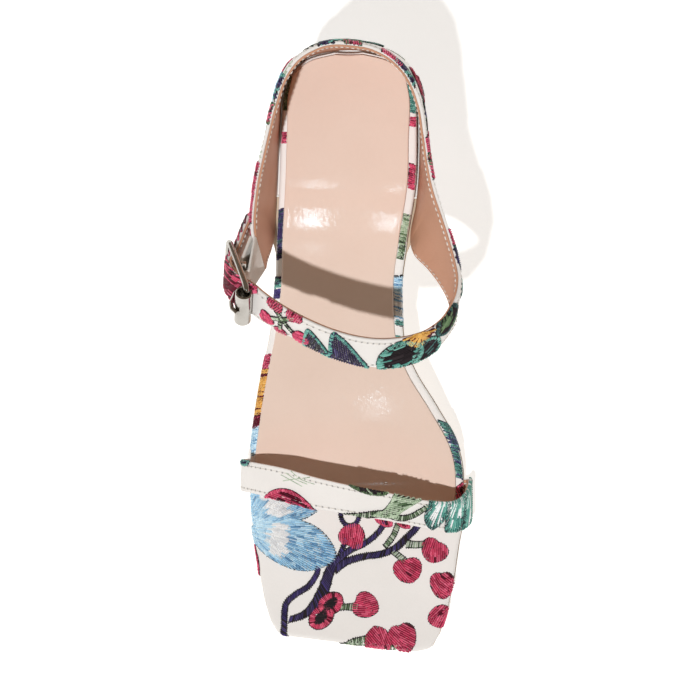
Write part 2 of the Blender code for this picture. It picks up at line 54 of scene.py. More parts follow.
# Sizes that the solids share
GAP = 0.3
FOOTBED_THICK, FOOTBED_ROUND = 5.0, 1.4
SEAT_DISH = 1.6
SOCK_THICK, SOCK_FRONT, SOCK_CORNER = 1.2, 171.0, 9.0
SOCK_INSET_LATERAL, SOCK_INSET_MEDIAL = 2.2, 3.0
SOCK_WIDTH_SHARE = 0.92
OUTSOLE_THICK, WAIST_THICK = 3.0, 2.4
TREAD_START, TREAD_END = 165.0, 200.0
TOP_PIECE_THICK = 5.0
HEEL_BREAST = 51.5
UPPER_WALL, UPPER_MARGIN = 2.0, 0.7
ELASTIC_THICK = 1.0
FRAME_WIRE, FRAME_WIDTH, FRAME_CORNER = 1.1, 20.0, 2.2
BAR_WIRE, BAR_DROP = 0.9, 2.4
ROLLER_RADIUS, ROLLER_WALL, ROLLER_LENGTH = 3.0, 0.6, 15.2
PRONG_WIRE = 0.8

# Sizes of what is made here: the straps' layers, their turned edges and their seams
LEATHER, LINING = 1.15, 0.75
VAMP_LEATHER, VAMP_LINING = 0.95, 0.55
TURNED_EDGE, EDGE_SHARE, EDGE_WRAP = 0.45, 0.45, 0.45
LINING_INSET, LAYER_GAP = 0.35, 0.02
SEAM_FROM_EDGE, SEAM_PITCH, SEAM_STITCH = 1.7, 2.3, 1.5
SEAM_WIDE, SEAM_HIGH, TROUGH_HALF, HOLE_SHARE = 0.6, 0.4, 0.75, 0.21
# Sock, sole, heel and elastic
SOCK_SLANT, SLANT_START = 8.0, 140.0
SOCK_INSET_BACK, INSET_REACH, SOCK_ROUND = 1.0, 34.0, 0.6
RIM_STEPS = np.array((0.0, 0.06, 0.2, 0.42, 0.7, 1.0))
RIBS_PER_MM = 1.3
PADS = ((26.0, 22.0, 0.5), (130.0, 26.0, 0.7))  # place, reach and swell of the padding in the sock
SEATED = 0.05  # how far the sole and the heel tip stay under what they carry
TREAD_STEP, TREAD_DEPTH, TREAD_WIDTH_SHARE = 3.2, 0.7, 0.88
SOLE_ROUND, HEEL_ROUND = 0.4, 0.5
HEEL_MIDDLE = np.array((0.0, 25.0))
HEEL_CORNER_PASSES = 6
# Heights and sizes of the rings that round the heel tip's foot
TIP_RINGS = ((0.0, 0.965), (0.5, 0.99), (1.2, 1.0), (TOP_PIECE_THICK + GAP - SEATED, 1.0))
ELASTIC_RIBS, RIB_HIGH, RIB_STEPS, WEB_SHARE = 13, 0.3, 6, 0.8
FLARE, FLARE_REACH, FLARE_MEDIAL_SHARE = 1.2, 34.0, 0.6
# Threads: their sizes, and how deep they sink into the leather
THREAD_WIDE, THREAD_HIGH, STITCH_GAP = 0.72, 0.5, 0.84
THREAD_SUNK = 0.12
BED_THREAD = {"wide": 1.25, "high": 0.34, "lift": -0.05}
HAIR_THREAD = {"wide": 0.42, "high": 0.36}
STEM_EDGE_THREAD = {"wide": 0.36, "high": 0.3, "lift": 0.26}
LINE_HIGH, OUTLINE_HIGH = 0.3, 0.34
# Shares of a stem's stitches in its first tone, and where its dark ones begin
STEM_FIRST, BRANCH_DARK, STALK_DARK = 0.58, 0.82, 0.95
# Where stitches stop: at a panel's ends, beside the vamp strap's tucks, behind where the quarters hide
# the footbed's side, and under the sock's front
END_MARGIN = 0.5
TUCKS_FROM, TUCKS_TO, QUARTERS_TO = 146, 176, 80
RIM_SHOWN, SIDE_SHOWN, UNDER_SOCK = 1.2, 3.2, 2
# Shares along a stitch where it has a cross-section, and how many places along it are tried
STATIONS, TRIES = np.array((0.0, 0.13, 0.5, 0.87, 1.0)), 25
# A stitch whose ends face further apart than this cosine is sewn as two, unless it is too short
BENT, SHORTEST = 0.86, 0.7
BERRY_WIDE, BERRY_TALL = 8.6, 9.4
TOE_STEP, VAMP_WIDE, STRAP_WIDE, QUARTER_WIDE = 0.539, 14.0, 15.5, 20.0
MERGE_WIRE, MERGE_TUBE = 0.000002, 0.000005

# Plan of the footbed: each rib runs from its lateral end to its medial end
OUTLINE = columns(
    "rib lateral_s lateral_x medial_s medial_x",
    (0, 0.0, -5.0, 0.0, 5.0),
    (2, 1.6, -12.5, 1.6, 12.5),
    (5.5, 5.0, -18.6, 5.0, 18.6),
    (13.5, 13.0, -23.0, 13.0, 23.0),
    (27, 27.0, -24.6, 27.0, 24.5),
    (45, 45.0, -25.6, 45.0, 24.2),
    (69, 69.0, -27.4, 69.0, 20.5),
    (86, 86.0, -28.6, 86.0, 18.4),
    (102, 102.0, -31.2, 102.0, 18.9),
    (115, 115.0, -34.3, 115.0, 22.9),
    (129, 129.0, -37.2, 129.0, 31.2),
    (143, 143.0, -39.5, 143.0, 38.8),
    (157, 157.0, -40.7, 157.0, 41.6),
    (170, 170.0, -40.3, 170.0, 41.7),
    (184, 184.0, -38.4, 184.0, 39.6),
    (198, 198.0, -36.2, 200.0, 37.1),
    (210, 208.0, -34.0, 213.0, 33.7),
    (217, 214.5, -31.2, 220.0, 30.6),
    (221, 217.6, -27.6, 223.2, 26.6),
    (222, 218.4, -23.5, 223.9, 22.5),
)
LAST_RIB = 222.0

# Side view of the footbed's underside: seat, waist, tread and toe spring
PROFILE = columns(
    "s under",
    (-4, 81.2),
    (0, 81.0),
    (20, 79.0),
    (40, 74.0),
    (60, 65.0),
    (80, 52.5),
    (100, 38.5),
    (120, 25.0),
    (140, 13.5),
    (152, 7.6),
    (TREAD_START, OUTSOLE_THICK + GAP),
    (TREAD_END, OUTSOLE_THICK + GAP),
    (212, 4.3),
    (226, 6.6),
)
# How far the outsole stands out past the footbed, so that the quarters end on it behind
OUTSOLE_MARGIN = columns("s out", (45, 3.4), (65, 3.4), (71, 0.5), (82, 0.3), (226, 0.3))
OUTSOLE_LEVEL = columns(
    "s thick",
    (45, WAIST_THICK),
    (130, WAIST_THICK),
    (160, OUTSOLE_THICK),
    (226, OUTSOLE_THICK),
)
# The heel's height shares and how far its outline has drawn in at each
HEEL_TAPER = columns(
    "share drawn_in",
    (0.0, 1.0),
    (0.12, 0.99),
    (0.45, 0.78),
    (0.75, 0.38),
    (0.92, 0.08),
    (1.0, 0.0),
)
HEEL_FOOT_WIDTH_SHARE = 0.83
HEEL_FOOT_BACK = 3.0
HEEL_FOOT_LENGTH_SHARE = 0.77

# The vamp strap's ends: out past the footbed's edge, up from its underside
TUCK = columns("out up", (-9, 0), (-3, 0), (0.2, 0.05), (1.8, 0.6), (2.6, 2.0), (2.8, 4.6))
TUCK_LATERAL_BACK, TUCK_LATERAL_FRONT = 149.6, 161.9
TUCK_MEDIAL_BACK, TUCK_MEDIAL_FRONT = 157.5, 171.8
# The vamp strap's arch, from the lateral side to the medial side: its back edge and its front edge
VAMP_ARCH = columns(
    "back_x back_s back_z front_x front_s front_z",
    (-43.2, 150.3, 20.0, -43.8, 162.0, 14.5),
    (-38.0, 150.8, 28.0, -38.4, 162.8, 22.0),
    (-26.2, 152.9, 33.8, -27.4, 165.1, 27.2),
    (-15.1, 156.0, 36.2, -15.4, 168.1, 29.2),
    (-5.8, 158.2, 37.2, -4.1, 169.9, 30.0),
    (5.2, 160.6, 37.4, 8.8, 172.0, 30.0),
    (16.1, 162.6, 36.6, 19.8, 174.1, 29.0),
    (27.9, 165.0, 33.4, 29.0, 175.9, 26.6),
    (38.5, 165.6, 25.6, 38.6, 177.0, 20.4),
    (43.3, 161.8, 17.0, 43.9, 174.6, 13.5),
)

# The upper's outer face, from the lateral quarter's front end back round the heel to the strap's tail.
# Lateral quarter in front of the sole: lower edge and top edge
LATERAL_TONGUE = columns(
    "low_x low_s low_z top_x top_s top_z crown",
    (-31.4, 79.5, 91.0, -34.5, 66.0, 105.0, 0.3),
    (-31.2, 76.0, 83.0, -34.6, 61.0, 105.2, 0.6),
    (-30.6, 72.0, 72.0, -34.0, 55.0, 106.8, 1.0),
)
# Heel counter and quarters: the rib where the lower edge sits beside the footbed, and the top edge
COUNTER = columns(
    "side low_rib top_x top_s top_z crown",
    (LATERAL, 66, -32.9, 48.0, 109.3, 1.0),
    (LATERAL, 54, -31.0, 40.0, 112.6, 1.0),
    (LATERAL, 40, -28.4, 31.0, 117.6, 0.9),
    (LATERAL, 26, -25.2, 21.5, 123.4, 0.8),
    (LATERAL, 15, -20.6, 11.6, 129.4, 0.8),
    (LATERAL, 8, -16.0, 6.4, 132.2, 0.8),
    (LATERAL, 3, -9.6, 2.9, 133.8, 0.8),
    (LATERAL, 0, -3.4, 1.6, 134.4, 0.8),
    (MEDIAL, 0, 3.4, 1.6, 134.4, 0.8),
    (MEDIAL, 3, 10.0, 2.9, 133.8, 0.8),
    (MEDIAL, 8, 16.6, 6.4, 132.2, 0.8),
    (MEDIAL, 15, 21.6, 11.4, 129.4, 0.8),
    (MEDIAL, 26, 26.2, 21.0, 123.4, 0.8),
    (MEDIAL, 40, 28.2, 31.0, 117.6, 0.9),
    (MEDIAL, 54, 29.9, 42.0, 111.6, 1.0),
    (MEDIAL, 67, 32.2, 52.0, 107.7, 1.0),
)
# Medial quarter in front of the sole, instep strap, buckled stretch and tail
INSTEP_STRAP = columns(
    "low_x low_s low_z top_x top_s top_z crown",
    (24.6, 72.6, 69.0, 34.6, 59.0, 106.0, 1.0),
    (29.4, 78.0, 79.0, 37.2, 67.0, 105.6, 1.0),
    (34.4, 84.8, 89.0, 39.6, 75.5, 106.9, 0.8),
    (37.6, 91.4, 96.4, 40.7, 82.5, 110.2, 0.6),
    (38.6, 97.6, 102.0, 39.5, 89.0, 114.4, 0.6),
    (36.0, 103.0, 106.0, 35.4, 96.5, 119.0, 0.6),
    (31.3, 108.2, 109.6, 29.7, 101.0, 122.6, 0.6),
    (24.4, 112.0, 112.9, 24.6, 103.0, 125.0, 0.6),
    (16.0, 114.0, 115.2, 17.7, 104.2, 126.8, 0.6),
    (7.3, 113.8, 116.2, 11.1, 104.4, 127.6, 0.6),
    (-1.2, 111.8, 116.0, 4.3, 103.6, 127.8, 0.6),
    (-9.8, 108.4, 114.6, -3.8, 101.5, 127.2, 0.6),
    (-18.6, 104.0, 112.0, -14.4, 97.2, 125.0, 0.6),
    (-27.0, 99.6, 109.0, -23.2, 92.4, 122.6, 0.6),
    (-32.2, 96.6, 107.6, -29.6, 88.0, 120.6, 0.3),
    (-35.2, 94.3, 107.0, -33.8, 84.7, 119.0, 0.0),
    (-39.0, 92.2, 105.2, -37.6, 82.6, 117.2, 0.0),
    (-43.1, 88.0, 101.6, -41.7, 78.4, 113.6, 0.0),
    (-44.2, 85.4, 99.2, -42.8, 75.8, 111.2, 0.0),
    (-41.5, 79.8, 94.2, -40.1, 70.2, 106.2, 0.0),
    (-38.9, 72.2, 88.8, -37.6, 62.8, 100.6, 0.0),
    (-36.6, 67.2, 85.6, -35.7, 58.2, 97.2, 0.0),
)

# The buckle's upper side bar, front end and rear end, and the way down across the strap
ROD_FRONT, ROD_REAR = np.array((-34.8, 85.8, 121.9)), np.array((-42.0, 68.7, 108.9))
ACROSS_STRAP = np.array((-0.12, 0.53, -0.84))
PRONG_REACH, PRONG_DIP, EYE_OPENS = 2.6, 1.2, 150
# The elastic's ends at the lateral quarter's front edge
ELASTIC_TOP, ELASTIC_LOW = np.array((-33.8, 67.3, 104.2)), np.array((-31.0, 78.7, 92.6))
ELASTIC_INSET = 2.6


def smooth(at, keys, values, keep_flat=True):
    """A cubic through rows of keys and values, read at some keys; keep_flat stops overshooting."""
    keys, values, at = (np.asarray(a, float) for a in (keys, values, at))
    step = np.diff(keys)
    slope = np.diff(values) / step
    lean = np.concatenate((slope[:1], slope[:-1], slope[-1:]))
    before, after = step[:-1], step[1:]
    lean[1:-1] = (slope[:-1] * after + slope[1:] * before) / (before + after)
    if keep_flat:
        same_way = slope[:-1] * slope[1:] > 0
        gentle = np.minimum(np.abs(slope[:-1]), np.abs(slope[1:])) * 3
        lean[1:-1] = np.where(same_way, np.clip(lean[1:-1], -gentle, gentle), 0)
    i = np.clip(np.searchsorted(keys, at, side="right") - 1, 0, len(step) - 1)
    t = (at - keys[i]) / step[i]
    near = values[i] * (1 + 2 * t) + lean[i] * step[i] * t
    far = values[i + 1] * (3 - 2 * t) + lean[i + 1] * step[i] * (t - 1)
    return near * (1 - t) ** 2 + far * t**2


def unit(vector):
    return vector / np.linalg.norm(vector, axis=-1, keepdims=True)


def miles(line):
    """How far along a line each of its points is."""
    return np.concatenate(((0,), np.cumsum(np.linalg.norm(np.diff(line, axis=0), axis=1))))


def under(s):
    return smooth(s, PROFILE["s"], PROFILE["under"])


def edge_x(side, s):
    """The footbed's edge on one side, at a distance from the heel."""
    name = "lateral" if side == LATERAL else "medial"
    return smooth(s, OUTLINE[name + "_s"], OUTLINE[name + "_x"])


def edge_point(side, rib, out):
    """(x, s) of one end of a rib, moved outward from the footbed's edge."""
    name = "lateral" if side == LATERAL else "medial"

    def read(at):
        return np.array([smooth(at, OUTLINE["rib"], OUTLINE[name + k]) for k in ("_x", "_s")])

    nudge = 0.4
    along = unit((read(np.minimum(rib + nudge, LAST_RIB)) - read(np.maximum(rib - nudge, 0))).T).T
    outward = np.array((along[1], -along[0])) * side
    ends = (rib <= 0) | (rib >= LAST_RIB)
    forward = np.array((np.zeros_like(rib), np.where(rib <= 0, -1.0, 1.0)))
    return read(rib) + out * np.where(ends, forward, outward)


def ribs(first, last, count):
    """Rib places, closer together at both round ends."""
    turn = np.linspace(0, math.pi, count)
    even = np.linspace(0, 1, count)
    crowded = (1 - np.cos(turn)) / 2
    return first + (last - first) * (crowded + even) / 2


def plan(rib_places, out, across):
    """A grid of (x, s) between the two ends of each rib, and each point's share across the sole."""
    rib_places = np.asarray(rib_places, float)
    out = np.broadcast_to(out, (2, len(rib_places)))
    lateral = edge_point(LATERAL, rib_places, out[0])
    medial = edge_point(MEDIAL, rib_places, out[1])
    share = np.linspace(0, 1, across)
    across = share[None, :, None]
    return lateral.T[:, None, :] * (1 - across) + medial.T[:, None, :] * across, share * 2 - 1


def dish(grid, share):
    """How far the footbed's top sinks between its edges: most at the seat, none at the toe."""
    depth = SEAT_DISH * np.clip(1 - grid[..., 1] / SOCK_FRONT, 0, 1)
    return depth * (1 - share**2)


def raised(grid, height):
    return np.concatenate((grid, np.broadcast_to(height, grid.shape[:2])[..., None]), axis=2)


def along_rows(low, top, crown, count, across):
    """A grid of the outer face through rows of a lower and a top point, bulged out by each row's crown.

    The lower edge never dips under the level of the footbed's underside.
    """
    middle = (low + top) / 2
    length = miles(middle)
    at = np.linspace(0, length[-1], count)

    def read(values):
        return np.stack([smooth(at, length, v, keep_flat=False) for v in values.T], axis=1)

    low, top = read(low), read(top)
    low[:, 2] = np.maximum(low[:, 2], under(low[:, 1]))
    bulge = smooth(at, length, crown)
    outward = unit(np.cross(np.gradient((low + top) / 2, axis=0), top - low))
    share = np.linspace(0, 1, across)[None, :, None]
    swell = 4 * share * (1 - share) * (bulge[:, None] * outward)[:, None, :]
    return low[:, None, :] * (1 - share) + top[:, None, :] * share + swell


def points(table, prefix):
    return np.stack([table[prefix + k] for k in ("x", "s", "z")], axis=1)


def tucked(side, s):
    """One edge of a strap's tucked end, from under the footbed to its side."""
    x = edge_x(side, s) + side * TUCK["out"]
    return np.stack((x, np.full_like(x, s), under(s) + TUCK["up"]), axis=1)


def upper_rows():
    """Lower edge, top edge and crown of every row of the upper."""
    seated = []
    for side, rib in zip(COUNTER["side"], COUNTER["low_rib"]):
        x, s = edge_point(side, rib, UPPER_MARGIN + UPPER_WALL)
        seated.append((x, s, under(s)))
    low = np.concatenate((points(LATERAL_TONGUE, "low_"), seated, points(INSTEP_STRAP, "low_")))
    tables = (LATERAL_TONGUE, COUNTER, INSTEP_STRAP)
    top = np.concatenate([points(table, "top_") for table in tables])
    crown = np.concatenate([table["crown"] for table in tables])
    round_heel = top[:, :2] - HEEL_MIDDLE
    behind = np.clip(1 - top[:, 1] / FLARE_REACH, 0, 1)
    flare = FLARE * behind * np.where(round_heel[:, 0] < 0, 1, FLARE_MEDIAL_SHARE)
    top[:, :2] += unit(round_heel) * flare[:, None]
    return low, top, crown


class Strip:
    """A panel's outer face: millimetres along it and a share across it, from its lower edge up."""

    def __init__(self, grid, facing=1):
        self.grid = grid
        self.across = np.gradient(grid, axis=1)
        self.out = facing * unit(np.cross(np.gradient(grid, axis=0), self.across))
        self.mile = miles(grid[:, grid.shape[1] // 2])
        self.length = self.mile[-1]
        self.widths = np.linalg.norm(np.diff(grid, axis=1), axis=2).sum(axis=1)
        self.lasted = (0.0, 0.0)

    def read(self, values, along, share):
        rows, cols = self.grid.shape[:2]
        r = np.interp(along, self.mile, np.arange(rows))
        c = np.clip(share, 0, 1) * (cols - 1)
        i = np.clip(r.astype(int), 0, rows - 2)
        j = np.clip(c.astype(int), 0, cols - 2)
        p, q = (r - i)[..., None], (c - j)[..., None]
        near = values[i, j] * (1 - q) + values[i, j + 1] * q
        far = values[i + 1, j] * (1 - q) + values[i + 1, j + 1] * q
        return near * (1 - p) + far * p

    def at(self, along, share):
        """Places and outward directions; what passes an edge turns over it."""
        wide = self.width(along)
        bend = TURNED_EDGE / wide
        flat = np.clip(share, bend, 1 - bend)
        past = np.abs(share - flat) * wide
        spots, out = self.read(self.grid, along, flat), unit(self.read(self.out, along, flat))
        aside = unit(self.read(self.across, along, flat)) * np.sign(share - flat)[..., None]
        turn = np.minimum(past / TURNED_EDGE, math.pi / 2)[..., None]
        down = np.maximum(past - TURNED_EDGE * math.pi / 2, 0)[..., None]
        sunk = TURNED_EDGE * (1 - np.cos(turn)) + down
        spots = spots + aside * TURNED_EDGE * np.sin(turn) - out * sunk
        return spots, out * np.cos(turn) + aside * np.sin(turn)

    def width(self, along):
        return np.interp(along, self.mile, self.widths)

    def inside(self, along, share):
        edge = np.minimum(share, 1 - share) * self.width(along)
        between_ends = (along > END_MARGIN) & (along < self.length - END_MARGIN)
        return (edge > -EDGE_WRAP) & between_ends

    def lay(self, along, share):
        """A drawing's millimetres, x along and y down towards the lower edge, laid round one place."""
        step, part, from_edge = 1.0, 0.02, 0.08
        flat = min(max(share, from_edge), 1 - from_edge)
        spot = np.array((along - step, along + step, along, along))
        level = np.array((flat, flat, flat - part, flat + part))
        near_a, far_a, near_s, far_s = self.at(spot, level)[0]
        by_along, by_share = (far_a - near_a) / (2 * step), (far_s - near_s) / (2 * part)
        first = unit(by_along)
        second = unit(by_share - first * (by_share @ first))
        inverse = np.linalg.inv([[by_along @ first, by_share @ first], [0, by_share @ second]])

        def on_panel(drawn):
            moved = (drawn * (1, -1)) @ inverse.T
            return along + moved[..., 0], share + moved[..., 1]

        return on_panel


class Bed:
    """The footbed's cover, drawn as seen from above; what passes its edge turns down its side."""

    def __init__(self):
        places = ribs(0, LAST_RIB, 260)
        lateral, medial = (edge_point(side, places, -FOOTBED_ROUND).T for side in (LATERAL, MEDIAL))
        self.rim = evenly(np.concatenate((lateral, medial[::-1])), 900)
        along = np.roll(self.rim, -1, axis=0) - np.roll(self.rim, 1, axis=0)
        self.out = unit(np.stack((-along[:, 1], along[:, 0]), axis=1))

    def nearest(self, spots):
        found = [((self.rim - spot) ** 2).sum(axis=1).argmin() for spot in spots]
        rim, out = self.rim[found], self.out[found]
        return rim, out, ((spots - rim) * out).sum(axis=1)

    def at(self, x, s):
        shape = np.shape(x)
        spots = np.stack((np.ravel(x), np.ravel(s)), axis=1)
        rim, out, past = self.nearest(spots)
        over = np.maximum(past, 0)
        turn = np.minimum(over / FOOTBED_ROUND, math.pi / 2)
        down = np.maximum(over - FOOTBED_ROUND * math.pi / 2, 0)
        base = np.where(past[:, None] > 0, rim, spots)
        place = base + out * (FOOTBED_ROUND * np.sin(turn))[:, None]
        height = bed_top(base[:, 0], base[:, 1]) - FOOTBED_ROUND * (1 - np.cos(turn)) - down
        fall = bed_top(base[:, 0], base[:, 1] + 1) - bed_top(base[:, 0], base[:, 1] - 1)
        up = unit(np.stack((np.zeros(len(fall)), fall / 2, np.ones(len(fall))), axis=1))
        side = np.stack((out[:, 0], -out[:, 1], np.zeros(len(out))), axis=1)
        normal = unit(up * np.cos(turn)[:, None] + side * np.sin(turn)[:, None])
        points = row(np.concatenate((place, height[:, None]), axis=1))
        return points.reshape(*shape, 3), normal.reshape(*shape, 3)

    def inside(self, x, s):
        spots = np.stack((np.ravel(x), np.ravel(s)), axis=1)
        _, out, past = self.nearest(spots)
        deep = np.where(out[:, 0] < 0, *sock_insets(spots[:, 1])) - FOOTBED_ROUND
        left, right = (edge_x(side, np.clip(spots[:, 1], 0, LAST_RIB)) for side in (LATERAL, MEDIAL))
        across = np.clip((right - spots[:, 0]) / (right - left), 0, 1)
        open_toe = spots[:, 1] > SOCK_FRONT - SOCK_SLANT * across - UNDER_SOCK
        beside_strap = (spots[:, 1] > TUCKS_FROM) & (spots[:, 1] < TUCKS_TO)
        behind = spots[:, 1] < QUARTERS_TO
        lowest = np.where(beside_strap | behind, RIM_SHOWN, FOOTBED_ROUND * math.pi / 2 + SIDE_SHOWN)
        ok = (past < lowest) & (open_toe | (past > -deep))
        return ok.reshape(np.shape(x))

    def lay(self, x, s):
        def on_panel(drawn):
            return x + drawn[..., 0], s + drawn[..., 1]

        return on_panel


def evenly(points, count, closed=True):
    """The same line with its points evenly apart."""
    line = np.concatenate((points, points[:1])) if closed else points
    mile = miles(line)
    at = np.linspace(0, mile[-1], count, endpoint=not closed)
    return np.stack([np.interp(at, mile, line[:, k]) for k in range(line.shape[1])], axis=1)


def sock_insets(s):
    """How far the sock stays inside the footbed's edge, on the lateral and the medial side."""
    share = np.clip(s / INSET_REACH, 0, 1)
    share = share * share * (3 - 2 * share)
    sides = (SOCK_INSET_LATERAL, SOCK_INSET_MEDIAL)
    return [SOCK_INSET_BACK + (side - SOCK_INSET_BACK) * share for side in sides]


def rimmed(places, out, across, radius):
    """A plan of ribs with columns crowded at both edges, so that they can be turned down."""
    ends, _ = plan(places, out, 2)
    near = radius * RIM_STEPS / np.linalg.norm(ends[:, 1] - ends[:, 0], axis=1)[:, None]
    inner = near[:, -1:] + (1 - 2 * near[:, -1:]) * np.linspace(0, 1, across)[None, 1:-1]
    share = np.concatenate((near, inner, 1 - near[:, ::-1]), axis=1)
    return ends[:, :1] * (1 - share[..., None]) + ends[:, 1:] * share[..., None], share * 2 - 1


def turned_down(flat, height, radius):
    """Heights of a sheet whose rim is turned down in a quarter round."""
    rim = np.concatenate((flat[:, 0], flat[-1, 1:-1], flat[::-1, -1], flat[0, -2:0:-1]))
    along = np.roll(rim, -1, axis=0) - rim
    long = (along**2).sum(axis=1) + 1e-12
    away = []
    for line in flat:
        from_rim = line[:, None, :] - rim
        share = np.clip((from_rim * along).sum(axis=2) / long, 0, 1)
        away.append(np.linalg.norm(from_rim - along * share[..., None], axis=2).min(axis=1))
    deep = np.clip(radius - np.array(away), 0, radius)
    return height - radius + np.sqrt(radius**2 - deep**2)


def row(points):
    """Millimetres of (x, s, z) as millimetres in the row's frame."""
    return np.stack((points[..., 0] + SHOE_X, SHOE_Y - points[..., 1], points[..., 2]), axis=-1)


def bed_top(x, s):
    """Height of the footbed's top."""
    s = np.clip(s, 0, LAST_RIB + 2)
    left, right = edge_x(LATERAL, s), edge_x(MEDIAL, s)
    share = np.clip(2 * (x - left) / (right - left) - 1, -1, 1)
    depth = SEAT_DISH * np.clip(1 - s / SOCK_FRONT, 0, 1)
    return under(s) + FOOTBED_THICK - depth * (1 - share**2)


def vamp_grid(count, across):
    front, back = (
        np.concatenate((tucked(LATERAL, outer), points(VAMP_ARCH, edge), tucked(MEDIAL, inner)[::-1]))
        for edge, outer, inner in (
            ("front_", TUCK_LATERAL_FRONT, TUCK_MEDIAL_FRONT),
            ("back_", TUCK_LATERAL_BACK, TUCK_MEDIAL_BACK),
        )
    )
    return row(along_rows(front, back, np.zeros(len(back)), count, across))


def upper_grid(count, across):
    return row(along_rows(*upper_rows(), count, across))


def lasted_stretch():
    """Where the upper's lower edge is drawn in under the footbed, so that no row is sewn along it."""
    low, top, _ = upper_rows()
    mile = miles((low + top) / 2)
    first = len(LATERAL_TONGUE["crown"])
    return mile[first - 1] + 2, mile[first + len(COUNTER["crown"]) - 1] + 2


def heel_rings(count):
    """The heel's outline at its top and at its foot, from the lateral breast corner backwards."""
    half_way = HEEL_BREAST / 2
    places = np.concatenate((ribs(0, half_way, 40), np.linspace(half_way, HEEL_BREAST, 20)[1:]))
    margin = UPPER_MARGIN + UPPER_WALL
    lateral, medial = (edge_point(side, places, margin).T for side in (LATERAL, MEDIAL))
    ring = evenly(np.concatenate((lateral[::-1], medial)), count)
    for _ in range(HEEL_CORNER_PASSES):
        ring = (np.roll(ring, 1, axis=0) + ring * 2 + np.roll(ring, -1, axis=0)) / 4
    along = (ring[:, 1] - ring[:, 1].min()) * HEEL_FOOT_LENGTH_SHARE
    foot = np.stack((ring[:, 0] * HEEL_FOOT_WIDTH_SHARE, HEEL_FOOT_BACK + along), axis=1)
    return ring, foot


def heel_layer(ring, foot, share):
    drawn_in = smooth(share, HEEL_TAPER["share"], HEEL_TAPER["drawn_in"])
    start = TOP_PIECE_THICK + GAP
    height = start + (under(ring[:, 1]) - GAP - start) * share
    return row(np.concatenate((ring + (foot - ring) * drawn_in, height[:, None]), axis=1))


def heel_grid(count, layers):
    ring, foot = heel_rings(count)
    ring, foot = (np.concatenate((line, line[:1])) for line in (ring, foot))
    return np.stack([heel_layer(ring, foot, share) for share in np.linspace(0, 1, layers)], axis=1)


# Modelling by hand
def deselect():
    if bpy.context.object and bpy.context.object.mode != "OBJECT":
        bpy.ops.object.mode_set(mode="OBJECT")
    bpy.ops.object.select_all(action="DESELECT")


def begun(name):
    """The primitive that was just added, as a named piece."""
    piece = bpy.context.object
    piece.name = piece.data.name = name
    return piece


def move_points(piece, places):
    piece.data.vertices.foreach_set("co", (np.asarray(places) * MM).ravel())
    piece.data.update()


def places_of(piece):
    flat = np.empty(len(piece.data.vertices) * 3)
    piece.data.vertices.foreach_get("co", flat)
    return flat.reshape(-1, 3)


def note(piece, name, values):
    """Keeps one number for each point, which modifiers carry along and materials read."""
    piece.data.attributes.new(name, "FLOAT", "POINT").data.foreach_set("value", np.ravel(values))


def choose(piece):
    deselect()
    piece.select_set(True)
    bpy.context.view_layer.objects.active = piece


def edit(piece):
    choose(piece)
    bpy.ops.object.mode_set(mode="EDIT")


def finished(piece, kind, **settings):
    """Adds a modifier, sets it and applies it."""
    choose(piece)
    modifier = piece.modifiers.new(kind.title(), kind)
    for key, value in settings.items():
        setattr(modifier, key, value)
    bpy.ops.object.modifier_apply(modifier=modifier.name)


def outward(piece, merge=0):
    """Turns all faces outward, after joining points that lie closer than a distance."""
    edit(piece)
    bpy.ops.mesh.select_all(action="SELECT")
    if merge:
        bpy.ops.mesh.remove_doubles(threshold=merge)
    bpy.ops.mesh.normals_make_consistent(inside=False)
    bpy.ops.object.mode_set(mode="OBJECT")


def smoothed(piece, angle=40):
    choose(piece)
    bpy.ops.object.shade_smooth_by_angle(angle=math.radians(angle))


def sheet_piece(name, grid):
    """A flat grid of faces whose points are moved on to the piece's surface."""
    rows, cols = grid.shape[:2]
    deselect()
    bpy.ops.mesh.primitive_grid_add(x_subdivisions=rows - 1, y_subdivisions=cols - 1, size=1)
    piece = begun(name)
    flat = places_of(piece)
    i = np.rint((flat[:, 0] + 0.5) * (rows - 1)).astype(int)
    j = np.rint((flat[:, 1] + 0.5) * (cols - 1)).astype(int)
    move_points(piece, grid[i, j])
    return piece, i, j


def slab(name, top, low):
    """A sheet laid at the top and extruded down to a lower one."""
    piece, i, j = sheet_piece(name, top)
    edit(piece)
    bpy.ops.mesh.select_all(action="SELECT")
    bpy.ops.mesh.extrude_region_move()
    bpy.ops.object.mode_set(mode="OBJECT")
    chosen = np.array([v.select for v in piece.data.vertices])
    places = places_of(piece) / MM
    places[chosen] = low[i, j]
    places[~chosen] = top[i, j]
    move_points(piece, places)
    outward(piece)
    return piece


def rounded(piece, width, segments):
    """Rounds the sharp edges."""
    finished(piece, "BEVEL", width=width * MM, segments=segments, limit_method="ANGLE", angle_limit=0.9)


def lofted(name, rings):
    """A disc at the first ring, extruded ring by ring to the last."""
    deselect()
    bpy.ops.mesh.primitive_circle_add(vertices=len(rings[0]), fill_type="NGON")
    piece = begun(name)
    order = piece.data.attributes.new("order", "INT", "POINT")
    order.data.foreach_set("value", np.arange(len(rings[0])))
    move_points(piece, rings[0])
    edit(piece)
    bpy.ops.mesh.select_all(action="SELECT")
    for ring in rings[1:]:
        bpy.ops.object.mode_set(mode="EDIT")
        bpy.ops.mesh.extrude_region_move()
        bpy.ops.object.mode_set(mode="OBJECT")
        count = len(piece.data.vertices)
        index, chosen = np.empty(count, int), np.empty(count, bool)
        piece.data.attributes["order"].data.foreach_get("value", index)
        piece.data.vertices.foreach_get("select", chosen)
        places = places_of(piece) / MM
        places[chosen] = ring[index[chosen]]
        move_points(piece, places)
    piece.data.attributes.remove(piece.data.attributes["order"])
    outward(piece)
    return piece


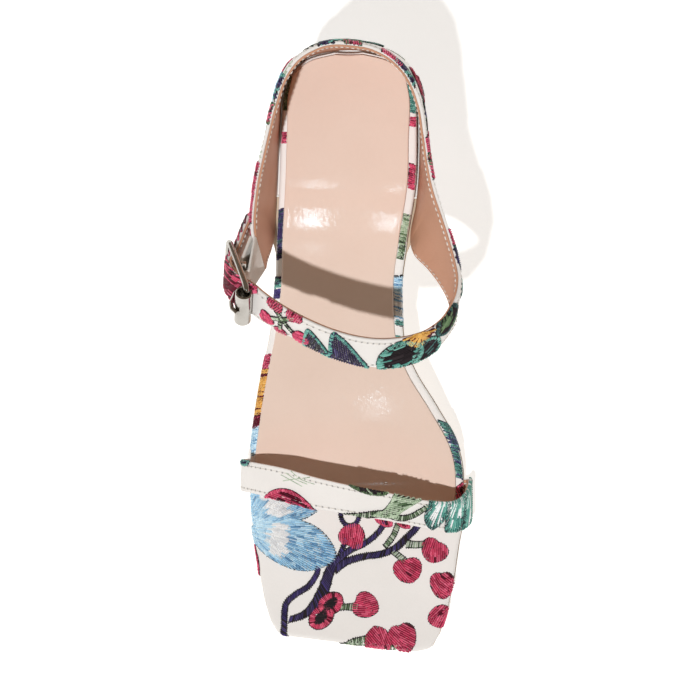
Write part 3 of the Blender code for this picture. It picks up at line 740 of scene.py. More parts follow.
def wire_piece(name, path, radius, closed=False):
    """A round wire along a path, as a mesh."""
    curve = bpy.data.curves.new(name, "CURVE")
    curve.dimensions = "3D"
    curve.bevel_depth = radius * MM
    curve.bevel_resolution = 3
    curve.use_fill_caps = True
    line = curve.splines.new("POLY")
    line.points.add(len(path) - 1)
    spots = np.concatenate((np.array(path) * MM, np.ones((len(path), 1))), axis=1)
    line.points.foreach_set("co", spots.ravel())
    line.use_cyclic_u = closed
    piece = bpy.data.objects.new(name, curve)
    bpy.context.collection.objects.link(piece)
    choose(piece)
    bpy.ops.object.convert(target="MESH")
    outward(bpy.context.object, MERGE_WIRE)
    return begun(name)


def dress(piece, finish, stands_for=()):
    """Gives a piece its material and ties it to the shoe."""
    piece.data.materials.clear()
    piece.data.materials.append(finish)
    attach(piece, "root")
    if stands_for:
        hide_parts(*stands_for)


# Finishes
def colour(red, green, blue):
    """A colour as seen on screen, 0 to 255, as the linear one that shaders take."""
    seen = np.array((red, green, blue)) / 255
    linear = np.where(seen <= 0.04045, seen / 12.92, ((seen + 0.055) / 1.055) ** 2.4)
    return (*linear, 1.0)


class Tree:
    """A node tree with short ways to add nodes and link them."""

    def __init__(self, tree):
        self.tree = tree

    def plug(self, socket, value):
        """Links a socket to another one, or sets its value."""
        if isinstance(value, bpy.types.NodeSocket):
            self.tree.links.new(value, socket)
        else:
            socket.default_value = value

    def add(self, kind, inputs=None, **settings):
        node = self.tree.nodes.new(kind)
        for key, value in settings.items():
            setattr(node, key, value)
        for key, value in (inputs or {}).items():
            self.plug(node.inputs[key], value)
        return node

    def noted(self, name):
        """A number that the piece keeps for each of its points."""
        return self.add("ShaderNodeAttribute", attribute_name=name).outputs["Fac"]

    def math(self, operation, *values, clamp=False):
        inputs = dict(enumerate(values))
        return self.add("ShaderNodeMath", inputs, operation=operation, use_clamp=clamp).outputs[0]

    def mix(self, factor, first, second):
        return self.add("ShaderNodeMix", {0: factor, 6: first, 7: second}, data_type="RGBA").outputs[2]

    def ramp(self, factor, *stops):
        node = self.add("ShaderNodeValToRGB", {"Fac": factor})
        for element, (at, tint) in zip(node.color_ramp.elements, (stops[0], stops[-1])):
            element.position, element.color = at, tint
        for at, tint in stops[1:-1]:
            node.color_ramp.elements.new(at).color = tint
        return node.outputs["Color"]


def effect(name, takes, gives, build):
    """A node group with named values in and out, which several finishes share."""
    group = bpy.data.node_groups.new(name, "ShaderNodeTree")
    for socket, kind, start in takes:
        made = group.interface.new_socket(socket, in_out="INPUT", socket_type=kind)
        if start is not None:
            made.default_value = start
    for socket, kind in gives:
        group.interface.new_socket(socket, in_out="OUTPUT", socket_type=kind)
    tree = Tree(group)
    entry, out = tree.add("NodeGroupInput"), tree.add("NodeGroupOutput")
    for socket, value in build(tree, entry.outputs).items():
        group.links.new(value, out.inputs[socket])
    return group


VECTOR, FLOAT = "NodeSocketVector", "NodeSocketFloat"


def grain_nodes(t, take):
    """Small rounded cells with finer pores between them."""
    where = take["Vector"]
    inputs = {"Vector": where, "Scale": take["Scale"]}
    cells = t.add("ShaderNodeTexVoronoi", inputs, feature="SMOOTH_F1")
    finer = t.math("MULTIPLY", take["Scale"], 3.1)
    pores = t.add("ShaderNodeTexNoise", {"Vector": where, "Scale": finer, "Detail": 1.0})
    hollow = t.math("MULTIPLY", cells.outputs["Distance"], -0.8)
    return {
        "Height": t.math("MULTIPLY_ADD", pores.outputs["Fac"], 0.5, hollow),
        "Pores": t.math("MULTIPLY", cells.outputs["Distance"], pores.outputs["Fac"], clamp=True),
    }


def drift_nodes(t, take):
    """Slow changes over the surface, for tone and gloss."""
    inputs = {"Vector": take["Vector"], "Scale": take["Scale"], "Detail": 2.0}
    broad = t.add("ShaderNodeTexNoise", inputs)
    return {"Drift": t.math("MULTIPLY_ADD", broad.outputs["Fac"], 2.0, -0.5, clamp=True)}


def seam_nodes(t, take):
    """The trough that a sewn row pulls into leather, with a needle hole at each stitch's end, and
    painted shade in the holes deep in the trough.
    """
    aside = t.math("ABSOLUTE", t.math("SUBTRACT", take["Edge"], SEAM_FROM_EDGE))
    trough = t.math("SUBTRACT", 1.0, t.math("DIVIDE", aside, TROUGH_HALF), clamp=True)
    phase = t.math("FRACT", t.math("DIVIDE", take["Along"], SEAM_PITCH))
    from_middle = t.math("ABSOLUTE", t.math("SUBTRACT", phase, 0.5))
    from_hole = t.math("SUBTRACT", 0.5, from_middle)
    hole = t.math("SUBTRACT", 1.3, t.math("DIVIDE", from_hole, HOLE_SHARE), clamp=True)
    deep = t.math("MULTIPLY_ADD", hole, 0.7, 0.3)
    sunk = t.math("MULTIPLY", t.math("MULTIPLY", trough, trough), deep)
    return {"Height": t.math("MULTIPLY", sunk, -1.0), "Dark": t.math("MULTIPLY", sunk, hole)}


def twist_nodes(t, take):
    """Plies that wind round a thread."""
    inputs = {"Vector": take["Vector"], "Scale": take["Turns"], "Distortion": 0.6}
    wound = t.add("ShaderNodeTexWave", inputs, bands_direction="DIAGONAL")
    return {"Ply": wound.outputs["Fac"]}


def scratch_nodes(t, take):
    """Fine hairlines that handling leaves on polished metal."""
    drawn = t.add("ShaderNodeMapping", {"Vector": take["Vector"], "Scale": (1.0, 14.0, 5.0)})
    inputs = {"Vector": drawn.outputs[0], "Scale": take["Scale"], "Detail": 4.0}
    lines = t.add("ShaderNodeTexNoise", inputs)
    return {"Lines": lines.outputs["Fac"]}


def vector_and(name, start):
    """What most effects take: a place and one number."""
    return ("Vector", VECTOR, None), (name, FLOAT, start)


HEIGHT, DARK, PORES = ("Height", FLOAT), ("Dark", FLOAT), ("Pores", FLOAT)
GRAIN = effect("leather_grain", vector_and("Scale", 900.0), (HEIGHT, PORES), grain_nodes)
DRIFT = effect("slow_drift", vector_and("Scale", 40.0), (("Drift", FLOAT),), drift_nodes)
SEAM = effect("sewn_seam", (("Along", FLOAT, 0.0), ("Edge", FLOAT, 50.0)), (HEIGHT, DARK), seam_nodes)
TWIST = effect("thread_twist", vector_and("Turns", 6.0), (("Ply", FLOAT),), twist_nodes)
SCRATCH = effect("hairlines", vector_and("Scale", 300.0), (("Lines", FLOAT),), scratch_nodes)


def begin_finish(name, **sockets):
    """A new material: its tree, its shader and the piece's own coordinates."""
    made = bpy.data.materials.new(name)
    made.use_nodes = True
    tree = Tree(made.node_tree)
    shader = made.node_tree.nodes["Principled BSDF"]
    for key, value in sockets.items():
        shader.inputs[key.replace("_", " ")].default_value = value
    own = tree.add("ShaderNodeTexCoord").outputs["Object"]
    return made, tree, shader, own


def use(tree, group, **inputs):
    return tree.add("ShaderNodeGroup", inputs, node_tree=group).outputs


def bump(tree, shader, height, distance, under_it=None):
    inputs = {"Height": height, "Distance": distance * MM, "Strength": 1.0}
    if under_it:
        inputs["Normal"] = under_it
    made = tree.add("ShaderNodeBump", inputs).outputs[0]
    tree.plug(shader.inputs["Normal"], made)
    return made


def coat(tree, shader, tone, rough):
    tree.plug(shader.inputs["Base Color"], tone)
    tree.plug(shader.inputs["Roughness"], rough)


def leather(name, light, dark, rough, scale, depth, sewn=False):
    """Leather of two near tones with grain, and a sewn seam where the piece has its edges noted, its
    needle holes darkened with painted shade.
    """
    made, t, shader, own = begin_finish(name)
    grain = use(t, GRAIN, Vector=own, Scale=scale)
    drift = use(t, DRIFT, Vector=own, Scale=45.0)["Drift"]
    worn = t.math("MULTIPLY_ADD", grain["Pores"], 0.5, t.math("MULTIPLY", drift, 0.5))
    tone = t.mix(worn, light, dark)
    normal = bump(t, shader, grain["Height"], depth)
    if sewn:
        seam = use(t, SEAM, Along=t.noted("along"), Edge=t.noted("edge"))
        # Painted shade: the seam's needle holes are darkened towards a dark brown.
        tone = t.mix(t.math("MULTIPLY", seam["Dark"], 0.85), tone, colour(60, 52, 50))
        bump(t, shader, seam["Height"], 0.25, normal)
    coat(t, shader, tone, t.math("MULTIPLY_ADD", drift, 0.12, rough - 0.06))
    return made


def rubber(name, light, dark):
    made, t, shader, own = begin_finish(name, Specular_IOR_Level=0.35)
    grain = use(t, GRAIN, Vector=own, Scale=1400.0)
    drift = use(t, DRIFT, Vector=own, Scale=30.0)["Drift"]
    rough = t.math("MULTIPLY_ADD", grain["Pores"], 0.2, 0.6)
    coat(t, shader, t.mix(drift, light, dark), rough)
    bump(t, shader, grain["Height"], 0.06)
    return made


def thread(name, light, middle, dark):
    """Embroidery thread: a tone for each stitch, painted shade low on its sides, a painted highlight
    along its crest, and plies that wind along it.
    """
    made, t, shader, _ = begin_finish(name, Sheen_Weight=0.08, Specular_IOR_Level=0.35)
    path = t.add("ShaderNodeUVMap", uv_map="OFBake").outputs[0]
    ply = use(t, TWIST, Vector=path, Turns=90.0)["Ply"]
    crest = t.noted("crest")
    stops = ((0.0, dark), (0.26, dark), (0.42, middle), (0.6, middle), (0.84, light))
    tone = t.ramp(t.noted("shade"), *stops)
    # Painted shade low on each stitch's sides and a painted highlight along its crest, read from the
    # crest value.
    tone = t.mix(t.math("MULTIPLY_ADD", crest, -0.9, 0.74, clamp=True), tone, dark)
    tone = t.mix(t.math("MULTIPLY_ADD", crest, 2.0, -1.1, clamp=True), tone, light)
    tone = t.mix(t.math("MULTIPLY", ply, 0.15), tone, dark)
    coat(t, shader, tone, t.math("MULTIPLY_ADD", ply, 0.15, 0.35))
    bump(t, shader, ply, 0.03)
    return made


def webbing(name):
    made, t, shader, own = begin_finish(name, Sheen_Weight=0.3)
    picks = t.math("SINE", t.math("MULTIPLY", t.noted("along"), 12.0))
    ends = t.math("SINE", t.math("MULTIPLY", t.noted("across"), 16.0))
    weave = t.math("MULTIPLY_ADD", t.math("MULTIPLY", picks, ends), 0.5, 0.5)
    drift = use(t, DRIFT, Vector=own, Scale=120.0)["Drift"]
    tone = t.mix(t.math("MULTIPLY", weave, drift), colour(236, 232, 226), colour(205, 198, 190))
    coat(t, shader, tone, t.math("MULTIPLY_ADD", drift, 0.1, 0.72))
    bump(t, shader, weave, 0.12)
    return made


def polished(name):
    made, t, shader, own = begin_finish(name, Metallic=1.0)
    lines = use(t, SCRATCH, Vector=own, Scale=420.0)["Lines"]
    drift = use(t, DRIFT, Vector=own, Scale=160.0)["Drift"]
    tone = t.mix(drift, colour(196, 193, 188), colour(170, 166, 160))
    coat(t, shader, tone, t.math("MULTIPLY_ADD", lines, 0.14, 0.08))
    bump(t, shader, lines, 0.01)
    return made


# Tones, roughness, grain scale and grain depth
WHITE = colour(240, 236, 233), colour(229, 225, 221), 0.42, 1500.0, 0.035
TAN = colour(208, 158, 130), colour(195, 143, 115), 0.5, 1100.0, 0.05
PINK = colour(229, 206, 192), colour(223, 198, 183), 0.07, 700.0, 0.014
WHITE_LEATHER = leather("white_leather", *WHITE)
SEWN_LEATHER = leather("white_leather_sewn", *WHITE, sewn=True)
TAN_LINING = leather("tan_lining", *TAN, sewn=True)
PINK_SOCK = leather("pink_sock", *PINK)
SOLE_RUBBER = rubber("sole_rubber", colour(206, 186, 163), colour(190, 170, 147))
TIP_RUBBER = rubber("tip_rubber", colour(176, 156, 134), colour(158, 138, 117))
WHITE_ELASTIC = webbing("white_elastic")
SILVER = polished("polished_nickel")

# The shoe's panels
BED = Bed()
VAMP = Strip(vamp_grid(420, 12))
UPPER = Strip(upper_grid(900, 20), facing=-1)
HEEL = Strip(heel_grid(500, 40), facing=-1)
VAMP_INSIDE = Strip(VAMP.grid - VAMP.out * (VAMP_LEATHER + VAMP_LINING), facing=-1)
UPPER_INSIDE = Strip(UPPER.grid - UPPER.out * (LEATHER + LINING), facing=1)
UPPER.lasted = UPPER_INSIDE.lasted = lasted_stretch()


def rim_places(last, radius, count):
    """Ribs of a sheet, crowded at both its ends so that they can be turned down."""
    near = radius * RIM_STEPS * RIBS_PER_MM
    return np.concatenate((near, ribs(near[-1], last - near[-1], count)[1:-1], last - near[::-1]))


def make_footbed():
    flat, share = rimmed(rim_places(LAST_RIB, FOOTBED_ROUND, 140), 0, 32, FOOTBED_ROUND)
    level = under(flat[..., 1]) + FOOTBED_THICK - dish(flat, share)
    top = raised(flat, turned_down(flat, level, FOOTBED_ROUND))
    piece = slab("footbed_cover", row(top), row(raised(flat, under(flat[..., 1]))))
    smoothed(piece, 50)
    dress(piece, WHITE_LEATHER, ["footbed"])


def make_sock():
    places = rim_places(SOCK_FRONT, SOCK_ROUND, 120)
    almost_all = 0.97
    ahead = np.clip(places - (SOCK_FRONT - SOCK_CORNER), 0, SOCK_CORNER * almost_all)
    corner = SOCK_CORNER - np.sqrt(SOCK_CORNER**2 - ahead**2)
    lateral, medial = sock_insets(places)
    flat, share = rimmed(places, (-lateral - corner, -medial - corner), 32, SOCK_ROUND)
    slanted = np.clip((flat[..., 1] - SLANT_START) / (SOCK_FRONT - SLANT_START), 0, 1)
    flat[..., 1] -= SOCK_SLANT * slanted * (1 - share) / 2
    low = under(flat[..., 1]) + FOOTBED_THICK + GAP - dish(flat, share * SOCK_WIDTH_SHARE)
    s = flat[..., 1]
    pad = sum(swell * np.exp(-(((s - place) / reach) ** 2)) for place, reach, swell in PADS)
    top = turned_down(flat, low + SOCK_THICK + pad * (1 - share**2), SOCK_ROUND)
    piece = slab("sock_leather", row(raised(flat, top)), row(raised(flat, low - GAP)))
    smoothed(piece, 50)
    dress(piece, PINK_SOCK, ["sock_lining"])


def sheet_of(name, strip, count, across, depth, thick, inset, finish, slot, stands_for):
    """One layer of a strap or quarter: a sheet at a depth under the panel's face, its edge turned."""
    along = np.linspace(inset, strip.length - inset, count)[:, None]
    margin = inset / strip.width(along)
    share = margin + (1 - 2 * margin) * np.linspace(0, 1, across)[None, :]
    along = np.broadcast_to(along, share.shape)
    spots, out = strip.read(strip.grid, along, share), unit(strip.read(strip.out, along, share))
    facing = np.sum(np.cross(spots[1, 0] - spots[0, 0], spots[0, 1] - spots[0, 0]) * out[0, 0]) > 0
    grid = spots - out * depth
    lasted = (along > strip.lasted[0]) & (along < strip.lasted[1])
    edge = np.where(lasted, 1 - share, np.minimum(share, 1 - share)) * strip.width(along)
    ends = np.minimum(along, strip.length - along)
    if not facing:
        grid, edge, along, ends = (np.flip(a, axis=0) for a in (grid, edge, along, ends))
    piece, i, j = sheet_piece(name, grid)
    note(piece, "along", along[i, j])
    note(piece, "edge", np.minimum(edge, ends)[i, j])
    finished(piece, "SOLIDIFY", thickness=thick * MM, offset=-1.0, use_even_offset=True)
    rounded(piece, min(TURNED_EDGE, thick * EDGE_SHARE), 3)
    smoothed(piece)
    dress(piece, finish, stands_for)


def make_straps():
    """The vamp strap and the upper: floral leather outside, tan lining under it."""
    outside, inside = (0, SEWN_LEATHER, "floral_leather"), (LINING_INSET, TAN_LINING, None)
    under_vamp, under_upper = VAMP_LEATHER + LAYER_GAP, LEATHER + LAYER_GAP
    sheet_of("vamp_band", VAMP, 260, 22, 0, VAMP_LEATHER, *outside, ["vamp_strap"])
    sheet_of("vamp_lining", VAMP, 260, 16, under_vamp, VAMP_LINING, *inside, ["vamp_strap"])
    sheet_of("upper_leather", UPPER, 520, 30, 0, LEATHER, *outside, ["upper"])
    sheet_of("upper_lining", UPPER, 520, 24, under_upper, LINING, *inside, ["upper"])


def make_outsole():
    waist = np.linspace(HEEL_BREAST + GAP, TREAD_START - 1, 40)
    tread = np.arange(TREAD_START, TREAD_END, TREAD_STEP / 4)
    toe = LAST_RIB - np.array((20, 17, 14, 11, 8, 5, 3, 1.5, 0.5, 0))
    places = np.concatenate((waist, tread, toe))
    out = smooth(places, OUTSOLE_MARGIN["s"], OUTSOLE_MARGIN["out"])
    flat, share = plan(places, (out, out), 22)
    s = flat[..., 1]
    top = under(s) - SEATED
    low = under(s) - GAP - smooth(s, OUTSOLE_LEVEL["s"], OUTSOLE_LEVEL["thick"])
    treading = (s >= TREAD_START) & (s <= TREAD_END)
    low[treading] = 0
    grooved_row = (np.arange(len(places)) % 4 == 3)[:, None]
    low[grooved_row & treading & (np.abs(share)[None, :] < TREAD_WIDTH_SHARE)] = TREAD_DEPTH
    piece = slab("sole", row(raised(flat, top)), row(raised(flat, low)))
    rounded(piece, SOLE_ROUND, 2)
    smoothed(piece)
    dress(piece, SOLE_RUBBER, ["outsole"])


def make_heel():
    ring, foot = heel_rings(180)
    shares = np.concatenate(((0, 0.012), np.linspace(0.05, 0.97, 22), (1.0,)))
    piece = lofted("heel_cover", [heel_layer(ring, foot, share) for share in shares])
    rounded(piece, HEEL_ROUND, 2)
    smoothed(piece, 35)
    dress(piece, WHITE_LEATHER, ["heel_block"])
    middle = foot.mean(axis=0)
    tip = []
    for height, size in TIP_RINGS:
        flat = middle + (foot - middle) * size
        tip.append(row(np.concatenate((flat, np.full((len(flat), 1), height)), axis=1)))
    piece = lofted("heel_tip", tip)
    smoothed(piece, 35)
    dress(piece, TIP_RUBBER, ["heel_top_piece"])


# Buckle and elastic
LENGTHWISE = unit(ROD_REAR - ROD_FRONT)
ROD_LENGTH = np.linalg.norm(ROD_REAR - ROD_FRONT)
DOWN_ACROSS = unit(ACROSS_STRAP - LENGTHWISE * (ACROSS_STRAP @ LENGTHWISE))
OUTWARD = np.cross(DOWN_ACROSS, LENGTHWISE)
BAR_PLACE, MIDDLE = ROD_LENGTH / 2, FRAME_WIDTH / 2
ROLLER_HANG = ROLLER_RADIUS - ROLLER_WALL - FRAME_WIRE - GAP
ROLLER_ROUND = 0.2


def on_buckle(length, across, out):
    """A place on the buckle: from its front bar back, down from its upper side bar, and outward."""
    return row(ROD_FRONT + LENGTHWISE * length + DOWN_ACROSS * across + OUTWARD * out)


def make_frame():
    path = []
    near, far, low = FRAME_CORNER, ROD_LENGTH - FRAME_CORNER, FRAME_WIDTH - FRAME_CORNER
    corners = ((near, near, 270), (near, low, 180), (far, low, 90), (far, near, 0))
    for length, across, start in corners:
        for degrees in range(start, start - 91, -15):
            turn = math.radians(degrees)
            aside, down = FRAME_CORNER * math.cos(turn), FRAME_CORNER * math.sin(turn)
            path.append(on_buckle(length + aside, across + down, 0))
    frame_wire = wire_piece("buckle_frame_bars", path, FRAME_WIRE, closed=True)
    knee = FRAME_WIRE / 2
    bends = ((0, 0), (knee, -BAR_DROP), (FRAME_WIDTH - knee, -BAR_DROP), (FRAME_WIDTH, 0))
    path = [on_buckle(BAR_PLACE, across, out) for across, out in bends]
    bar = wire_piece("buckle_middle_bar", path, BAR_WIRE)
    for piece in (frame_wire, bar):
        smoothed(piece, 60)
        dress(piece, SILVER, ["buckle_frame"])


def make_roller():
    """A thin rolled tube with turned-in rims, open at both ends."""
    start = MIDDLE - ROLLER_LENGTH / 2
    inner, shoulder = ROLLER_RADIUS - ROLLER_WALL, ROLLER_RADIUS - ROLLER_ROUND
    section = (
        (0.0, inner),
        (0.0, shoulder),
        (ROLLER_ROUND, ROLLER_RADIUS),
        (ROLLER_LENGTH - ROLLER_ROUND, ROLLER_RADIUS),
        (ROLLER_LENGTH, shoulder),
        (ROLLER_LENGTH, inner),
        (0.0, inner),
    )
    grid = []
    for across, radius in section:
        ring = []
        for turn in np.linspace(0, 2 * math.pi, 49):
            aside, out = radius * math.cos(turn), radius * math.sin(turn)
            ring.append(on_buckle(aside, start + across, ROLLER_HANG + out))
        grid.append(ring)
    piece, _, _ = sheet_piece("roller_tube", np.array(grid))
    outward(piece, MERGE_TUBE)
    smoothed(piece)
    dress(piece, SILVER, ["buckle_roller"])


def make_prong():
    eye = BAR_WIRE + GAP + PRONG_WIRE
    path = []
    for degrees in range(EYE_OPENS, -EYE_OPENS - 1, -15):
        turn = math.radians(degrees)
        length, out = eye * math.sin(turn), -eye * math.cos(turn)
        path.append(on_buckle(BAR_PLACE + length, MIDDLE, -BAR_DROP + out))
    rest = ROLLER_HANG + ROLLER_RADIUS + GAP + PRONG_WIRE
    tip = ((PRONG_REACH, rest - GAP), (0, rest), (-PRONG_REACH, rest - PRONG_DIP))
    for length, out in tip:
        path.append(on_buckle(length, MIDDLE, out))
    piece = wire_piece("prong_wire", path, PRONG_WIRE)
    smoothed(piece, 60)
    dress(piece, SILVER, ["buckle_prong"])


def make_elastic():
    """Two ribbed layers from the lateral quarter, joined by a turn round the middle bar."""
    turn_radius = BAR_WIRE + GAP + ELASTIC_THICK / 2
    apart = (ELASTIC_THICK + GAP) / 2
    shares = np.linspace(0, 1, ELASTIC_RIBS * RIB_STEPS + 1)
    rows, alongs = [], []
    for share in shares:
        sewn = ELASTIC_TOP * (1 - share) + ELASTIC_LOW * share
        bar = ROD_FRONT + LENGTHWISE * BAR_PLACE - OUTWARD * BAR_DROP
        bar = bar + DOWN_ACROSS * (ELASTIC_INSET + (FRAME_WIDTH - 2 * ELASTIC_INSET) * share)
        back = unit(sewn - bar)
        side = unit(OUTWARD - back * (OUTWARD @ back))
        turns = np.linspace(0, math.pi, 15)[:, None]
        round_bar = bar + turn_radius * (np.cos(turns) * side - np.sin(turns) * back)
        run = np.linspace(0, 1, 14)[:, None]
        out = (sewn + side * apart) * (1 - run) + round_bar[0] * run
        home = round_bar[-1] * (1 - run) + (sewn - side * apart) * run
        line = np.concatenate((out[:-1], round_bar, home[1:]))
        rows.append(line)
        alongs.append(miles(line))
    grid = row(np.array(rows))
    out = unit(np.cross(np.gradient(grid, axis=0), np.gradient(grid, axis=1)))
    rib = np.abs(np.sin(math.pi * ELASTIC_RIBS * shares))[:, None, None] * RIB_HIGH
    piece, i, j = sheet_piece("elastic_webbing", grid + out * rib)
    across = np.broadcast_to((shares * FRAME_WIDTH)[:, None], grid.shape[:2])
    note(piece, "along", np.array(alongs)[i, j])
    note(piece, "across", across[i, j])
    finished(piece, "SOLIDIFY", thickness=ELASTIC_THICK * WEB_SHARE * MM, offset=0.0)
    outward(piece)
    smoothed(piece, 50)
    dress(piece, WHITE_ELASTIC, ["elastic_tab"])


make_footbed()
make_sock()
make_outsole()
make_heel()
make_straps()
make_elastic()
make_frame()
make_roller()
make_prong()


# Threads
def pick(piece, wanted):
    """Selects, in edit mode, the edges whose two ends pass a test."""
    edit(piece)
    bpy.ops.mesh.select_mode(type="EDGE")
    bpy.ops.mesh.select_all(action="DESELECT")
    bpy.ops.object.mode_set(mode="OBJECT")
    for edge in piece.data.edges:
        edge.select = wanted(*(piece.data.vertices[k].co for k in edge.vertices))
    bpy.ops.object.mode_set(mode="EDIT")


def stitch_model():
    """One stitch as modelled: places along, across and up it, its faces, and their places on a map."""
    deselect()
    bpy.ops.mesh.primitive_cylinder_add(vertices=3, radius=1, depth=1, end_fill_type="NGON")
    model = begun("stitch_model")
    pick(model, lambda a, b: abs(a.z - b.z) > 0.5)
    bpy.ops.mesh.subdivide(number_cuts=len(STATIONS) - 2)
    for low, high in ((-1.0, -0.49), (0.49, 1.0)):
        pick(model, lambda a, b: low < a.z < high and low < b.z < high)
        bpy.ops.transform.resize(value=(0.45, 0.45, 1), center_override=(0, -0.5, 0))
    deselect()
    places = places_of(model)
    station = np.rint((places[:, 2] + 0.5) * (len(STATIONS) - 1)).astype(int)
    across = places[:, 0] / places[:, 0].max()
    up = (places[:, 1] + 0.5) / 1.5
    faces = [np.array(face.vertices) for face in model.data.polygons]
    flat = np.empty(len(model.data.loops) * 2)
    model.data.uv_layers[0].data.foreach_get("uv", flat)
    bpy.data.objects.remove(model)
    return station, across, up, faces, flat.reshape(-1, 2)


threads = {}


def sew(panel, lay, ends, tint, wide=THREAD_WIDE, high=THREAD_HIGH, lift=0.0):
    """Lays stitches on a panel, each from one end to the other and cut off where the panel stops."""
    ends = np.asarray(ends, float).reshape(-1, 2, 2)
    if not len(ends):
        return
    tries = np.linspace(0, 1, TRIES)
    spots = ends[:, :1] + (ends[:, 1:] - ends[:, :1]) * tries[None, :, None]
    ok = panel.inside(*lay(spots))
    first = ok.argmax(axis=1)
    ended = ~ok & (np.arange(TRIES)[None, :] > first[:, None])
    last = np.where(ended.any(axis=1), ended.argmax(axis=1) - 1, TRIES - 1)
    kept = ok.any(axis=1) & (last - first >= 2)
    if not kept.any():
        return
    reach = np.stack((tries[first[kept]], tries[last[kept]]), axis=1)[..., None]
    ends = ends[kept, :1] + (ends[kept, 1:] - ends[kept, :1]) * reach
    stations = ends[:, :1] + (ends[:, 1:] - ends[:, :1]) * STATIONS[None, :, None]
    spots, out = panel.at(*lay(stations))
    bent = (out[:, 0] * out[:, -1]).sum(axis=1) < BENT
    bent &= np.linalg.norm(spots[:, 0] - spots[:, -1], axis=1) > SHORTEST
    if bent.any():
        middle = ends[bent].mean(axis=1)
        for half in (0, 1):
            halves = np.stack((ends[bent, half], middle), axis=1)
            sew(panel, lay, halves, tint, wide, high, lift)
    spots, out = spots[~bent], out[~bent]
    count = len(spots)
    sizes = np.tile((wide, high, lift), (count, 1))
    sizes[:, :2] *= chance.uniform(0.85, 1.15, (count, 2))
    threads.setdefault(tint, []).append((spots, out, sizes, chance.random(count)))


def make_threads(tint, finish):
    """Copies the modelled stitch along every line sewn in one colour, as one joined piece."""
    station, across, up, faces, flat = STITCH
    spots, out, sizes, shade = (np.concatenate(parts) for parts in zip(*threads[tint]))
    ahead = unit(np.gradient(spots, axis=1) + 1e-9)
    aside = unit(np.cross(out, ahead))
    count, each = len(spots), len(station)
    wide, high, lift = sizes.T[:, :, None, None]
    places = spots[:, station] + aside[:, station] * (across[None, :, None] * wide / 2)
    places += out[:, station] * (lift + (up[None, :, None] - THREAD_SUNK) * high)
    mesh = bpy.data.meshes.new("thread_" + tint)
    copies = [(face + start).tolist() for start in np.arange(count) * each for face in faces]
    mesh.from_pydata((places.reshape(-1, 3) * MM).tolist(), [], copies)
    piece = bpy.data.objects.new("thread_" + tint, mesh)
    bpy.context.collection.objects.link(piece)
    note(piece, "shade", np.repeat(shade, each))
    # Each point's height on its stitch; the thread finish paints shade low down and a highlight on top
    # from it.
    note(piece, "crest", np.tile(up, count))
    side = math.ceil(math.sqrt(count))
    cells = np.stack((np.arange(count) % side, np.arange(count) // side), axis=1)
    margin = 0.06
    tiled = (cells[:, None, :] + margin + (1 - 2 * margin) * flat[None, :, :]) / side
    mesh.uv_layers.new(name="OFBake").data.foreach_set("uv", tiled.ravel())
    smoothed(piece, 85)
    dress(piece, finish)


# Drawing with stitches
def curve(points, closed=False):
    """A smooth line through a few points."""
    steps = 8
    p = np.array(points, float)
    ends = (p[-1:], p[:2]) if closed else (2 * p[:1] - p[1:2], 2 * p[-1:] - p[-2:-1])
    p = np.concatenate((ends[0], p, ends[1]))
    a, b, c, d = (p[k : len(p) - 3 + k, None, :] for k in range(4))
    t = (np.arange(steps) / steps)[None, :, None]
    bend, twist = 2 * a - 5 * b + 4 * c - d, 3 * (b - c) + d - a
    line = (b + ((c - a) * t + bend * t**2 + twist * t**3) / 2).reshape(-1, 2)
    return line if closed else np.concatenate((line, p[-2:-1]))


def loop(*points):
    return curve(points, closed=True)


def turned(points, degrees):
    c, s = math.cos(math.radians(degrees)), math.sin(math.radians(degrees))
    return np.asarray(points) @ np.array(((c, s), (-s, c)))


def within(outline, spots):
    """Whether each spot lies inside an outline."""
    a, b = outline, np.roll(outline, -1, axis=0)
    x, y = spots[..., 0, None], spots[..., 1, None]
    crosses = (a[:, 1] <= y) != (b[:, 1] <= y)
    rise = np.where(b[:, 1] == a[:, 1], 1e-9, b[:, 1] - a[:, 1])
    return (crosses & (x < a[:, 0] + (y - a[:, 1]) * (b[:, 0] - a[:, 0]) / rise)).sum(axis=-1) % 2 == 1


def kept_side(outline, x, sign):
    """The part of an outline on one side of an upright line."""
    found = []
    for a, b in zip(outline, np.roll(outline, -1, axis=0)):
        if sign * (a[0] - x) >= 0:
            found.append(a)
        if (a[0] - x) * (b[0] - x) < 0:
            found.append(a + (b - a) * (x - a[0]) / (b[0] - a[0]))
    return np.array(found).reshape(-1, 2)


def split(start, end, longest, ragged):
    """Cuts a row into stitches of uneven length."""
    count = max(1, round((end - start) / longest))
    cuts = np.linspace(start, end, count + 1)
    cuts[1:-1] += chance.uniform(-0.3, 0.3, count - 1) * (end - start) / count
    cuts[0] -= chance.uniform(0, ragged)
    cuts[-1] += chance.uniform(0, ragged)
    return zip(cuts[:-1] - 0.15, cuts[1:] + 0.15)


def crossings(outline, y):
    a, b = outline, np.roll(outline, -1, axis=0)
    hit = (a[:, 1] <= y) != (b[:, 1] <= y)
    a, b = a[hit], b[hit]
    return np.sort(a[:, 0] + (y - a[:, 1]) * (b[:, 0] - a[:, 0]) / (b[:, 1] - a[:, 1]))


def hatch(outline, degrees, gap=STITCH_GAP, longest=4.2, ragged=0.3):
    """Rows of satin stitches at an angle, from side to side of an outline."""
    if len(outline) < 3:
        return np.empty((0, 2, 2))
    flat = turned(outline, -degrees)
    ends = []
    for y in np.arange(flat[:, 1].min() + gap / 2, flat[:, 1].max(), gap):
        x = crossings(flat, y)
        for start, end in zip(x[::2], x[1::2]):
            ends.extend(((p, y), (q, y)) for p, q in split(start, end, longest, ragged))
    return turned(np.array(ends).reshape(-1, 2), degrees).reshape(-1, 2, 2)


